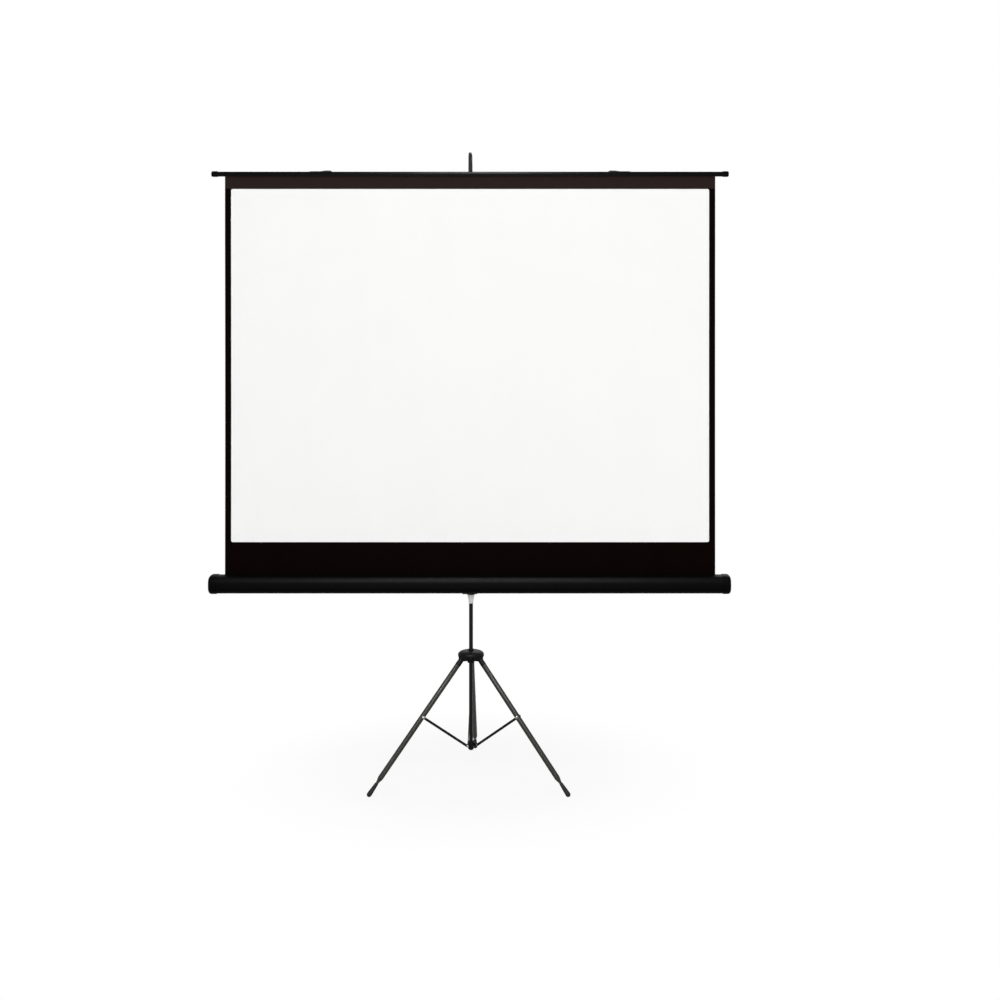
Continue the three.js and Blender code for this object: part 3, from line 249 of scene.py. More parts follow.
def settle(piece, finish, body, slot, *nodes):
    """Gives a piece its finish, the body it moves with and the solids it stands for; the slot is not used."""
    piece.data.materials.clear()
    piece.data.materials.append(finish)
    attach(piece, body)
    if nodes:
        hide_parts(*nodes)


low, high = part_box("mast_outer_tube")
mast_y = (low.y + high.y) / 2


def oval_stack(levels, count=64):
    """Rows of flat ovals round the mast, one for each (width, depth, height): two half circles as wide as the
    narrow side, pushed apart along y by the rest of the depth."""
    width, depth, height = np.array(levels).T[:, :, None]
    turn = (np.arange(count) + 0.5) / count * 2 * np.pi
    push = np.sign(np.sin(turn)) * (depth - width) / 2
    x = np.cos(turn) * width / 2
    return np.stack([x, mast_y + np.sin(turn) * width / 2 + push, np.broadcast_to(height, x.shape)], -1)


def drawn_tube(name, node, width, depth, wall, chamfer):
    """Flat-oval tube as tall as its solid: the outer wall, a chamfered rim on top, and the inner wall."""
    low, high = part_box(node)
    rims = [(0, low.z), (0, high.z - chamfer), (chamfer, high.z), (wall, high.z), (wall, low.z)]
    levels = [(width - 2 * inset, depth - 2 * inset, height) for inset, height in rims]
    return skin(name, oval_stack(levels), loop=True)


tube_black = coat("tube_black", (0.0065, 0.0062, 0.006), 0.34, shine=0.08, streak=0.12)
outer_mast = drawn_tube("mast_tube", "mast_outer_tube", 0.014, 0.024, wall=0.0015, chamfer=0.0004)
settle(outer_mast, tube_black, "mast", "tube_paint", "mast_outer_tube")


# Foot hub: a moulded black cup on the end of the tube, with three lugs where the struts are riveted.
# Its solid has the right form, so a merged copy of it is rounded and given the moulded grain.
def soften(piece, width, limit=35.0):
    """Rounds the edges sharper than the limit."""
    round_off = piece.modifiers.new("rounded_edges", "BEVEL")
    round_off.width = width
    round_off.segments = 2
    round_off.limit_method = "ANGLE"
    round_off.angle_limit = math.radians(limit)
    round_off.harden_normals = True
    return piece


def recast(node, width, limit=35.0):
    """Merged copy of a solid, with flat faces joined and its edges rounded by that width."""
    source = frame["nodes"][node].data
    spots = np.zeros(len(source.vertices) * 3)
    source.vertices.foreach_get("co", spots)
    spots = spots.reshape(-1, 3)
    corners = np.zeros(len(source.loops), int)
    source.loops.foreach_get("vertex_index", corners)
    _, first, place = np.unique(np.round(spots * 1e6), axis=0, return_index=True, return_inverse=True)
    faces = place.reshape(-1)[corners].reshape(-1, 3)
    whole = (faces[:, 0] != faces[:, 1]) & (faces[:, 1] != faces[:, 2]) & (faces[:, 2] != faces[:, 0])
    mesh = bpy.data.meshes.new(node + "_form")
    mesh.from_pydata(spots[first].tolist(), [], faces[whole].tolist())
    mesh.polygons.foreach_set("use_smooth", np.ones(len(mesh.polygons), bool))
    mesh.set_sharp_from_angle(angle=math.radians(limit))
    piece = bpy.data.objects.new(node + "_form", mesh)
    scene.collection.objects.link(piece)
    flat = piece.modifiers.new("flat_faces", "DECIMATE")
    flat.decimate_type = "DISSOLVE"
    flat.angle_limit = math.radians(1.0)
    return soften(piece, width, limit)


moulded_black = coat("moulded_black", (0.005, 0.0044, 0.0043), 0.44, shine=0.045, grain=2600.0, depth=0.3)
settle(recast("mast_foot_hub", 0.0008), moulded_black, "mast", "black_plastic", "mast_foot_hub")


# Rivets and pins: zinc-plated steel with low domed heads, closed by a press.
# Each one is a turned form on its own axis, seated on the plate it holds.
def spin(name, profile, centre, axis, count=40, loop=False):
    """Turned form: each (radius, station) pair gives a ring round the axis, that far along it from the
    centre. A loop joins the last ring to the first."""
    axis = np.array(axis, float)
    axis /= np.linalg.norm(axis)
    side = np.cross(axis, (0, 0, 1.0) if abs(axis[2]) < 0.9 else (1.0, 0, 0))
    side /= np.linalg.norm(side)
    other = np.cross(axis, side)
    turn = np.arange(count) / count * 2 * np.pi
    spoke = np.cos(turn)[:, None] * side + np.sin(turn)[:, None] * other
    radius, station = np.array(profile, float).T
    rows = np.array(centre) + station[:, None, None] * axis + radius[:, None, None] * spoke
    return skin(name, rows, loop=loop)


def dome(radius, height, base=0.0, steps=7):
    """Low dome: a straight rim a quarter as high, then a quarter of an ellipse to a small flat on top."""
    turn = np.linspace(0, np.pi / 2 * 0.96, steps)
    rise = base + 0.25 * height + 0.75 * height * np.sin(turn)
    return [(radius, base)] + list(zip(radius * np.cos(turn), rise))


zinc = coat("zinc_plate", (0.24, 0.237, 0.228), 0.36, metal=0.9, cloud=0.2, grain=900.0, depth=0.1)
shank, strut_outside = 0.0024, 0.0128
sides = ("rear", "right", "left")
joints = {joint["name"]: joint for joint in frame["joints"]}
for side in sides:
    tangent = np.array(joints[f"leg_{side}_fold"]["axis"])
    pivot = np.array(joints[f"strut_{side}_fold"]["pos_m"])
    head = [(shank, 0.005), (shank, strut_outside)] + dome(0.0046, 0.002, strut_outside + 0.0003)
    pin = spin(f"hub_rivet_{side}", head, pivot, tangent)
    settle(pin, zinc, "mast", "zinc_steel", f"hub_pin_{side}")


# Clamp collar: black moulded sleeve at the top of the outer tube, tapered below and chamfered at its mouth.
# Shallow rings round its waist give the hand a hold, and a round button on the back releases the tube.
def button_form(name, node):
    """Push button: a straight side, a rounded rim and a slightly dished face, turned about the y axis."""
    low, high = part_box(node)
    radius = (high.x - low.x) / 2
    length = high.y - low.y
    rim_wide, rim_tall = 0.0016, 0.0012
    turn = np.linspace(0, np.pi / 2, 6)
    rim = list(zip(radius - rim_wide + rim_wide * np.cos(turn), length - rim_tall + rim_tall * np.sin(turn)))
    dish = [(radius - 0.0026, length), (radius - 0.0036, length - 0.0005), (0.0006, length - 0.0007)]
    profile = [(radius, 0.0)] + rim + dish
    return spin(name, profile, (0, low.y, (low.z + high.z) / 2), (0, 1, 0), 48)


def bezel(name, node, surface_y):
    """Raised ring round a button: a half-round bead on the surface it comes out of."""
    low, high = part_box(node)
    radius = (high.x - low.x) / 2 + 0.0009
    bead, bead_tall, sunk = 0.0011, 0.001, 0.004
    turn = np.linspace(0, np.pi, 9)
    profile = [(radius, -sunk)] + list(zip(radius + bead - bead * np.cos(turn), bead_tall * np.sin(turn)))
    profile += [(radius + 2 * bead, -sunk)]
    return spin(name, profile, (0, surface_y, (low.z + high.z) / 2), (0, 1, 0), 48, loop=True)


low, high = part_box("extension_lock_collar")
tall = high.z - low.z
collar_wide, collar_deep = 0.027, 0.038
grip_from, grip_to, grip_rings, grip_depth = 0.5, 0.8, 6, 0.00045
shares = np.array([0, 0.008, 0.24, 0.27, 0.845, 0.86, 0.925, 0.935, 0.992, 1.0])
insets = np.array([0.0026, 0.0022, 0.0002, 0.0, 0.0, 0.0003, 0.0019, 0.0021, 0.0042, 0.0046])
every = np.unique(np.r_[shares, np.linspace(grip_from, grip_to, 73)])
wave = 0.5 - 0.5 * np.cos((every - grip_from) / (grip_to - grip_from) * grip_rings * 2 * np.pi)
inset = np.interp(every, shares, insets)
inset += np.where((every > grip_from) & (every < grip_to), grip_depth * wave, 0)
mast_bore, tube_bore, shoulder = (0.0148, 0.0248), (0.0109, 0.0209), 0.012
levels = [(*mast_bore, low.z)]
levels += [(collar_wide - 2 * step, collar_deep - 2 * step, low.z + tall * share)
           for step, share in zip(inset, every)]
levels += [(*tube_bore, high.z), (*tube_bore, high.z - shoulder), (*mast_bore, high.z - shoulder - 0.0015)]
collar = skin("clamp_collar", oval_stack(levels), loop=True)
settle(collar, moulded_black, "mast", "black_plastic", "extension_lock_collar")
press_black = coat("press_black", (0.011, 0.01, 0.0098), 0.38, shine=0.2, grain=2200.0, depth=0.1)
collar_button = button_form("collar_button", "extension_lock_button")
settle(collar_button, press_black, "extension_button", "black_plastic", "extension_lock_button")
collar_back = mast_y + 0.0188
collar_bezel = bezel("collar_bezel", "extension_lock_button", collar_back)
settle(collar_bezel, moulded_black, "mast", "black_plastic")

# Crown: the moulded spider that slides on the mast, with three forked arms for the legs under a round canopy.
# The copy of its solid is rounded, and a smooth canopy lies over it, its lip notched over each leg.
# The sprung lock pin is plated, and the leg pins are blackened steel.
settle(recast("tripod_crown", 0.0007), moulded_black, "crown", "black_plastic", "tripod_crown")
canopy_radius, canopy_wall, lip_tall = 0.04712, 0.0042, 0.0072
dome_eye, notch_half, notch_deep = 0.0169, 0.0104, 0.0019
roof = joints["leg_right_fold"]["pos_m"][2] + 0.01105
crown_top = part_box("tripod_crown")[1].z - 0.0039
turn = np.linspace(np.pi / 2, 0, 13)
dome_radius = dome_eye + (canopy_radius - dome_eye) * np.cos(turn)
profile = list(zip(dome_radius, roof + (crown_top - roof) * np.sin(turn)))
lip, lip_inside = roof - lip_tall, canopy_radius - canopy_wall
profile += [(canopy_radius, lip + 0.002), (canopy_radius - 0.0004, lip + 0.0008),
            (canopy_radius - 0.0012, lip), (lip_inside + 0.0006, lip),
            (lip_inside, lip + 0.0006), (lip_inside, roof + 0.0003)]
radius, height = np.array(profile).T
gap = np.arcsin(notch_half / radius)[:, None]
edge = gap + 0.002
beside = edge + (np.pi / 3 - edge) * np.linspace(0, 1, 16)[None, :]
inside = gap * np.linspace(-1, 1, 9)[None, :]
third = np.concatenate([-beside[:, ::-1], inside, beside[:, :-1]], axis=1)
column = np.arange(third.shape[1])
over_leg = np.tile((column >= 16) & (column < 25), 3)
outward = [np.array(joints[f"leg_{side}_fold"]["pos_m"])[:2] - (0, mast_y) for side in sides]
azimuth = sorted(math.atan2(y, x) % (2 * np.pi) for x, y in outward)
around = np.concatenate([third + a for a in azimuth], axis=1)
level = np.where(over_leg[None, :], np.maximum(height[:, None], roof - notch_deep), height[:, None])
rows = np.stack([radius[:, None] * np.cos(around), mast_y + radius[:, None] * np.sin(around), level], -1)
settle(skin("crown_canopy", rows, loop=True, crease=40.0), moulded_black, "crown", "black_plastic")
low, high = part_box("crown_lock_button")
pin_radius = (high.x - low.x) / 2
lock_pin = spin("crown_pin", [(pin_radius, 0.0)] + dome(pin_radius, 0.0012, high.y - low.y - 0.0012),
                (0, high.y, (low.z + high.z) / 2), (0, -1, 0))
settle(lock_pin, zinc, "crown_button", "zinc_steel", "crown_lock_button")
for side in sides:
    tangent = np.array(joints[f"leg_{side}_fold"]["axis"])
    pivot = np.array(joints[f"leg_{side}_fold"]["pos_m"])
    profile = [(0.0029, -0.015), (0.003, -0.0146), (0.003, 0.0141)] + dome(0.0048, 0.0016, 0.0141)
    leg_pin = spin(f"leg_pin_{side}", profile, pivot, tangent)
    settle(leg_pin, tube_black, "crown", "tube_paint", f"leg_{side}_pin")

# Legs: thin round steel tubes in dark grey paint, crimped to a neck that carries a club-shaped rubber foot.
# A moulded knuckle is pushed in the upper end and hangs in the crown's fork.
leg_grey = coat("leg_grey", (0.029, 0.0285, 0.0245), 0.34, shine=0.1, cloud=0.16, streak=0.16)
rubber = coat("foot_rubber", (0.0085, 0.008, 0.0078), 0.72, shine=0.14, grain=1900.0, depth=0.5, cloud=0.25)
feet = {mount["name"]: np.array(mount["pos_m"]) for mount in frame["record"]["mounts"]}
ball, sole = 0.0086, 0.0008
tube_radius, neck_radius = 0.0095, 0.0052
tube_top, crimp_top, crimp_long, neck_end = 0.0302, 0.499, 0.022, 0.542
shoe_top, rib_from, rib_to, rib_pitch, rib_depth = 0.524, 0.5415, 0.561, 0.0065, 0.0004


def leg_line(side):
    """Pivot of a leg, the direction from it to the middle of the ball of its foot, and their distance."""
    pivot = np.array(joints[f"leg_{side}_fold"]["pos_m"])
    line = feet[f"foot_{side}"] + (0, 0, ball - sole) - pivot
    reach = np.linalg.norm(line)
    return pivot, line / reach, reach


for side in sides:
    pivot, line, reach = leg_line(side)
    crimp = np.linspace(0, 1, 9)
    ease = tube_radius + (neck_radius - tube_radius) * (3 * crimp ** 2 - 2 * crimp ** 3)
    profile = [(tube_radius - 0.001, tube_top), (tube_radius - 0.0003, tube_top),
               (tube_radius, tube_top + 0.0004)]
    profile += [(tube_radius, station) for station in (0.16, 0.32, crimp_top - 0.002)]
    profile += list(zip(ease, crimp_top + crimp_long * crimp)) + [(neck_radius, neck_end)]
    tube = spin(f"leg_{side}_pipe", profile, pivot, line)
    settle(tube, leg_grey, f"leg_{side}", "leg_paint", f"leg_{side}_tube")
    settle(recast(f"leg_{side}_knuckle", 0.0005, 40.0), moulded_black, f"leg_{side}", "black_plastic",
           f"leg_{side}_knuckle")
    station = np.linspace(shoe_top, reach, 60)
    swell = np.interp(station, [shoe_top, 0.5252, 0.5357, 0.542, 0.551, 0.5595, reach],
                      [0.0056, 0.0062, 0.0068, 0.0074, 0.008, ball, ball])
    wave = 0.5 - 0.5 * np.cos((station - rib_from) / rib_pitch * 2 * np.pi)
    swell = swell - np.where((station > rib_from) & (station < rib_to), rib_depth * wave, 0)
    turn = np.linspace(0, np.pi / 2 * 0.97, 14)[1:]
    profile = list(zip(swell, station)) + list(zip(ball * np.cos(turn), reach + ball * np.sin(turn)))
    foot = spin(f"leg_{side}_shoe", profile, pivot, line)
    spots = np.zeros(len(foot.data.vertices) * 3)
    foot.data.vertices.foreach_get("co", spots)
    spots = spots.reshape(-1, 3)
    below = np.minimum(spots[:, 2], 0.0) / line[2]
    spots -= below[:, None] * line
    foot.data.vertices.foreach_set("co", spots.ravel())
    foot.data.update()
    settle(foot, rubber, f"leg_{side}", "foot_rubber", f"leg_{side}_foot")


# Struts: flat steel strips with round ends in black paint, one beside each leg.
# A rivet through the leg holds each one, with a domed head on both sides.
def slab(name, outline, thick, origin, right, up, width=0.0004):
    """Plate: an outline in its own plane, given thickness along the normal and rounded at its edges."""
    outline = np.array(outline, float)
    right, up = np.array(right, float), np.array(up, float)
    normal = np.cross(right, up)
    face = np.array(origin) + outline[:, :1] * right + outline[:, 1:] * up
    rows = np.stack([face + normal * step for step in thick])
    return soften(skin(name, rows), width)


rivet_down, strut_half, strut_inside, strut_thick = 0.25, 0.0045, 0.0098, 0.003
for side in sides:
    tangent = np.array(joints[f"leg_{side}_fold"]["axis"])
    hub = np.array(joints[f"strut_{side}_fold"]["pos_m"])
    hinge, line, _ = leg_line(side)
    meet = hinge + rivet_down * line
    along = meet - hub
    length = np.linalg.norm(along)
    along /= length
    turn = np.linspace(-np.pi / 2, np.pi / 2, 13)
    far = np.stack([length + strut_half * np.cos(turn), strut_half * np.sin(turn)], 1)
    near = np.stack([-strut_half * np.cos(turn), -strut_half * np.sin(turn)], 1)
    strut = slab(f"strut_{side}_strip", np.r_[far, near], (0.0, strut_thick),
                 hub + strut_inside * tangent, along, np.cross(tangent, along))
    settle(strut, tube_black, f"strut_{side}", "tube_paint", f"strut_{side}")
    head = [(shank, strut_inside + 0.0001), (shank, strut_outside)]
    head += dome(0.0056, 0.0024, strut_outside + 0.0003)
    settle(spin(f"strut_{side}_head", head, meet, tangent), zinc, f"strut_{side}", "zinc_steel",
           f"strut_{side}_rivet")
    far_head = spin(f"leg_{side}_rivet_head", dome(0.0052, 0.0024, 0.0079), meet, -tangent)
    settle(far_head, zinc, f"leg_{side}", "zinc_steel")

# Carriage: black moulded sleeve with a flange at each end, which slides on the mast and carries the case.
# Its release button sits on the back, inside the loop of the handle, in a raised ring.
settle(recast("carriage_sleeve", 0.0008), moulded_black, "carriage", "black_plastic", "carriage_sleeve")
release = button_form("release_button", "carriage_release_button")
settle(release, press_black, "carriage_button", "black_plastic", "carriage_release_button")
sleeve_back = mast_y + 0.0183
release_bezel = bezel("release_bezel", "carriage_release_button", sleeve_back)
settle(release_bezel, moulded_black, "carriage", "black_plastic")


# Handle: a D-shaped strap handle moulded in black, behind the carriage, with rounded edges.
# Both its ends run into the sleeve, and its lower corner hangs a little to give the fingers room.
def bent_line(points, steps):
    """Points along a line that starts at the first point, is drawn towards those between, and ends at the
    last: the spans are divided by the same share, again and again, until one point is left."""
    share = np.linspace(0, 1, steps)[:, None]
    level = [np.broadcast_to(point, (steps, 2)) for point in np.array(points, float)]
    while len(level) > 1:
        level = [a * (1 - share) + b * share for a, b in zip(level, level[1:])]
    return level[0]


def ribbon(name, path, width, thick, corner, count=7, taper=1.0):
    """Strap: a rounded rectangle carried along a path in the middle plane, square to the path at each point.
    The taper scales its width from point to point."""
    turn = np.linspace(0, np.pi / 2, count)
    arc = np.stack([np.cos(turn), np.sin(turn)], 1) * corner
    flat = np.array([width / 2 - corner, thick / 2 - corner])
    section = np.concatenate([arc + flat, arc[::-1] * (-1, 1) + flat * (-1, 1), -arc - flat,
                              arc[::-1] * (1, -1) + flat * (1, -1)])
    slope = np.gradient(path, axis=0)
    slope /= np.linalg.norm(slope, axis=1)[:, None]
    normal = np.stack([-slope[:, 1], slope[:, 0]], 1)
    rows = np.zeros((len(path), len(section), 3))
    rows[:, :, 0] = section[:, 0] * np.broadcast_to(taper, len(path))[:, None]
    rows[:, :, 1:] = path[:, None, :] + section[None, :, 1:] * normal[:, None, :]
    return skin(name, rows)


sleeve_low, sleeve_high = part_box("carriage_sleeve")
handle_wide, handle_thick, bend = 0.017, 0.0085, 0.018
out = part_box("carry_handle")[1].y - handle_thick / 2
top, bottom = sleeve_high.z - handle_thick / 2, sleeve_low.z + handle_thick / 2 + 0.001
root = sleeve_high.y - 0.001
grip_end, heel = (out - 0.005, bottom + 0.006), (out - 0.024, bottom - 0.0072)
path = np.concatenate([
    bent_line([(root, top), (out - bend, top)], 8)[:-1],
    bent_line([(out - bend, top), (out, top), (out, top - bend)], 14)[:-1],
    bent_line([(out, top - bend), grip_end], 14)[:-1],
    bent_line([grip_end, (out - 0.008, bottom - 0.016), heel], 16)[:-1],
    bent_line([heel, (root, bottom)], 6),
])
handle = ribbon("grip_handle", path, handle_wide, handle_thick, 0.003)
settle(handle, moulded_black, "carriage", "black_plastic", "carry_handle")


# Guide bush: a pale nylon funnel under the carriage that keeps it from rattling on the mast.
# Natural nylon is milky and slightly soft in its shine. The bare steel of the pivot stud, the roller and its
# spring goes straight on their solids.
def paint(node, finish):
    """Puts a finish on a solid that shows as it is."""
    frame["nodes"][node].data.materials.clear()
    frame["nodes"][node].data.materials.append(finish)


nylon = coat("pale_nylon", (0.66, 0.655, 0.63), 0.42, shine=0.4, cloud=0.04, grain=1200.0, depth=0.08)
low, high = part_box("carriage_guide_bush")
tall = high.z - low.z
levels = [(0.0149, 0.0249, low.z), (0.0168, 0.0268, low.z), (0.0172, 0.0272, low.z + 0.0004),
          (0.0172, 0.0272, low.z + 0.24 * tall), (0.0179, 0.0279, low.z + 0.3 * tall),
          (0.0232, 0.0332, high.z - 0.0072), (0.0237, 0.0337, high.z - 0.0066),
          (0.0252, 0.0352, high.z - 0.0004), (0.0248, 0.0348, high.z), (0.0149, 0.0249, high.z)]
bush = skin("guide_funnel", oval_stack(levels), loop=True)
settle(bush, nylon, "carriage", "pale_nylon", "carriage_guide_bush")
steel = coat("bare_steel", (0.2, 0.2, 0.205), 0.38, metal=0.9, cloud=0.2, grain=800.0, depth=0.12)
for node in ("case_pivot_stud", "roller_tube", "spring_rod", "torsion_spring"):
    paint(node, steel)


# Case: a long drawn steel housing in satin black paint, rounded like a soft square, open along its top.
# The edges of the slot are turned down inside, so that the cloth runs over a smooth lip.
def soft_square(turn, depth, height, power=3.1):
    """Superellipse: each of cosine and sine is raised to two over the power, then scaled to half the size."""
    c, s = np.cos(turn), np.sin(turn)
    return np.stack([np.sign(c) * np.abs(c) ** (2 / power) * depth / 2,
                     np.sign(s) * np.abs(s) ** (2 / power) * height / 2], -1)


def open_square(depth, height, rear, front, count=110):
    """Superellipse cut open on top between two edges, from the rear edge down and round to the front one,
    with evenly spaced points."""
    ring = soft_square(np.pi / 2 - np.linspace(0, 2 * np.pi, 2401), depth, height)
    on_top = ring[:, 1] > 0
    kept = ~(on_top & (ring[:, 0] < rear) & (ring[:, 0] > front))
    start = int(np.argmax(kept & on_top & (ring[:, 0] >= rear)))
    order = np.roll(np.arange(len(ring)), -start)
    points = ring[order][kept[order]]
    run = np.r_[0, np.cumsum(np.linalg.norm(np.diff(points, axis=0), axis=1))]
    at = np.linspace(0, run[-1], count)
    return np.stack([np.interp(at, run, points[:, 0]), np.interp(at, run, points[:, 1])], 1)


case_paint = coat("case_paint", (0.0009, 0.0008, 0.0008), 0.46, shine=0.021, cloud=0.2, grain=1300.0,
                  depth=0.16)
low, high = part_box("case_shell")
case_y, case_z = (low.y + high.y) / 2, (low.z + high.z) / 2
case_deep, case_tall, wall, slot_half, lip_deep = 0.082, 0.064, 0.0016, 0.0045, 0.0055
shell_end = high.x
sheet_low, sheet_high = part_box("screen_mask_sheet")
sheet_y = (sheet_low.y + sheet_high.y) / 2
rear_edge, front_edge = sheet_y - case_y + slot_half, sheet_y - case_y - slot_half
outer = open_square(case_deep, case_tall, rear_edge, front_edge)
inner = open_square(case_deep - 2 * wall, case_tall - 2 * wall, rear_edge + wall, front_edge - wall)
lip_z = outer[0][1] - lip_deep
front_lip = np.array([(front_edge, lip_z), (front_edge - wall, lip_z)])
rear_lip = np.array([(rear_edge + wall, lip_z), (rear_edge, lip_z)])
section = np.concatenate([outer, front_lip, inner[::-1], rear_lip])
rows = np.zeros((5, len(section), 3))
rows[:, :, 0] = np.linspace(low.x, high.x, 5)[:, None]
rows[:, :, 1:] = section + (case_y, case_z)
housing = soften(skin("case_housing", rows, crease=30.0), 0.0005, 40.0)
settle(housing, case_paint, "case", "case_paint", "case_shell")


# Case ends: black moulded caps, a little larger than the housing, with a rounded rim and a dished end face.
# One pan-head screw with a cross recess in the middle of each holds it on the housing.
def capped(name, steps, depth, height, centre, power, count):
    """Cap across x: one superellipse for each (growth, x), larger all round by that growth."""
    grow, x = np.array(steps).T[:, :, None]
    turn = (np.arange(count) + 0.5) / count * 2 * np.pi
    ring = soft_square(turn[None, :], depth + 2 * grow, height + 2 * grow, power) + centre
    rows = np.concatenate([np.broadcast_to(x[:, :, None], (len(steps), count, 1)), ring], -1)
    return skin(name, rows, crease=32.0)


cap_black = coat("cap_black", (0.0014, 0.0012, 0.0012), 0.42, shine=0.018, grain=2600.0, depth=0.3)
cap_lap, cap_round, dish_deep = 0.0018, 0.011, 0.0019
cap_mouth = [(0.001, 0.0), (0.0015, 0.0001), (cap_lap, 0.0006), (cap_lap, 0.0048), (0.0014, 0.0052),
             (0.0014, 0.006), (cap_lap, 0.0064)]
cap_dish = [(-0.0112, 0.0), (-0.0125, 0.0004), (-0.0136, 0.0016), (-0.0145, dish_deep), (-0.02, dish_deep)]
screw_rings = [(0.0036, 0, -0.0004), (0.0036, 0, 0.0004), (0.0033, 0, 0.0011), (0.0026, 0, 0.0014),
               (0, 1.04, 0.0014), (0, 0.98, 0.0012), (0, 0.55, 0.0002)]
for side, sign in (("right", 1), ("left", -1)):
    low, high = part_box(f"case_cap_{side}")
    mouth = sign * (shell_end + 0.0003)
    tip = high.x if sign > 0 else low.x
    turn = np.linspace(0, np.pi / 2, 10)
    steps = [(grow, mouth + sign * run) for grow, run in cap_mouth]
    steps += list(zip(cap_lap - cap_round * (1 - np.cos(turn)), tip - sign * cap_round * (1 - np.sin(turn))))
    steps += [(grow, tip - sign * run) for grow, run in cap_dish]
    cap = capped(f"case_end_{side}", steps, case_deep, case_tall, (case_y, case_z), 3.1, 120)
    settle(cap, cap_black, "case", "black_plastic", f"case_cap_{side}")
    ray = np.arange(64) / 64 * 2 * np.pi
    cross = 0.0014 + 0.0009 * np.cos(4 * ray) ** 3
    plain, crossed, lift = np.array(screw_rings).T[:, :, None]
    radius = plain + crossed * cross
    rows = np.stack([np.broadcast_to(tip + sign * (lift - dish_deep), radius.shape),
                     case_y + radius * np.cos(ray), case_z + radius * np.sin(ray)], -1)
    settle(skin(f"end_screw_{side}", rows, crease=30.0), zinc, "case", "zinc_steel")

# Saddle: a moulded half-shell that hugs the back and the under side of the case, with the pivot boss.
# Two screws hold it on the housing from behind.
settle(recast("case_saddle", 0.0006), moulded_black, "case", "black_plastic", "case_saddle")
screw_apart, saddle_back = 0.0205, case_y + case_deep / 2 + 0.0031
for side, sign in (("left", -1), ("right", 1)):
    screw = spin(f"saddle_screw_{side}", [(0.003, -0.0006)] + dome(0.003, 0.0016, -0.0004),
                 (sign * screw_apart, saddle_back, case_z), (0, 1, 0))
    settle(screw, zinc, "case", "zinc_steel")

# Roller: a steel tube in the case, with moulded plugs and the last turns of the cloth left on it.
# It shows only as a dark line through the slot.
for node in ("roller_plug_left", "roller_plug_right"):
    paint(node, moulded_black)


# Cloth: a coated sheet, black behind and round its edge, drawn up from the roller to the slat.
# The print leaves a plain white field with a black border, narrow at the sides and broad below.
def vinyl(name, colour, rough, shine, emboss, weave, warm, painted_sheen=None, back=None):
    """Coated cloth: a close woven relief under a fine bead, with a slow cloud in the colour and faint upright
    bands where the cloth is drawn tight. A painted sheen gives the height above which a lighter colour is painted
    in for the light falling on the top border, and back is the colour of the side that looks to the rear."""
    look = bpy.data.materials.new(name)
    look.use_nodes = True
    tree = look.node_tree
    tree.nodes.clear()
    spot = tree.nodes.new("ShaderNodeTexCoord")
    warp = joined(tree, "ShaderNodeTexWave", Vector=spot.outputs["Object"], Scale=weave)
    warp.bands_direction = "X"
    weft = joined(tree, "ShaderNodeTexWave", Vector=spot.outputs["Object"], Scale=weave)
    weft.bands_direction = "Z"
    bead = joined(tree, "ShaderNodeTexNoise", Vector=spot.outputs["Object"], Scale=1500.0, Detail=2.0)
    stretch = joined(tree, "ShaderNodeMapping", Vector=spot.outputs["Object"], Scale=(5.0, 5.0, 0.6))
    slow = joined(tree, "ShaderNodeTexNoise", Vector=stretch.outputs[0], Scale=2.2, Detail=4.0)
    both = joined(tree, "ShaderNodeMath", _0=warp.outputs["Fac"], _1=weft.outputs["Fac"])
    whole = joined(tree, "ShaderNodeMath", _0=both.outputs[0], _1=bead.outputs["Fac"])
    relief = joined(tree, "ShaderNodeBump", Height=whole.outputs[0], Strength=emboss, Distance=0.0002)
    clouded = [channel * share for channel, share in zip(colour, warm)]
    shown = mixed(tree, slow.outputs["Fac"], colour, clouded)
    # Painted sheen: above this height the cloth is painted lighter, standing in for the light from above.
    if painted_sheen:
        height, painted_sheen_colour = painted_sheen
        place = joined(tree, "ShaderNodeSeparateXYZ", _0=spot.outputs["Object"])
        sheen_share = joined(tree, "ShaderNodeMapRange", _0=place.outputs["Z"], _1=height - 0.003,
                       _2=height + 0.003)
        shown = mixed(tree, sheen_share.outputs[0], shown, painted_sheen_colour)
    if back:
        facing = joined(tree, "ShaderNodeSeparateXYZ", _0=spot.outputs["Normal"])
        behind = joined(tree, "ShaderNodeMapRange", _0=facing.outputs["Y"], _1=-0.2, _2=0.2)
        shown = mixed(tree, behind.outputs[0], shown, back)
    gloss = joined(tree, "ShaderNodeMapRange", _0=slow.outputs["Fac"], _1=0.3, _2=0.7, _3=rough - 0.05,
                   _4=rough + 0.05)
    body = joined(tree, "ShaderNodeBsdfPrincipled", Base_Color=shown, Roughness=gloss.outputs[0],
                  Normal=relief.outputs[0], Specular_IOR_Level=shine)
    joined(tree, "ShaderNodeOutputMaterial", Surface=body.outputs[0])
    return look


white_cloth = vinyl("white_cloth", (0.885, 0.885, 0.88), 0.82, 0.04, 0.12, 320.0, (0.985, 0.985, 0.98))
white_low, white_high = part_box("screen_white_face")
# The black cloth's top border above the white field is painted lighter: a painted sheen of the light from above.
black_cloth = vinyl("black_cloth", (0.0025, 0.0011, 0.0009), 0.6, 0.003, 0.25, 260.0, (1.45, 1.3, 1.25),
                    painted_sheen=(white_high.z + 0.002, (0.021, 0.0138, 0.0125)), back=(0.0095, 0.0091, 0.0088))
sheet_wide, sheet_long = sheet_high.x - sheet_low.x, sheet_high.z - sheet_low.z
white_wide, white_long = white_high.x - white_low.x, white_high.z - white_low.z
slack_low, slack_high = 0.76, sheet_high.z - 0.24
white_corner = 0.006


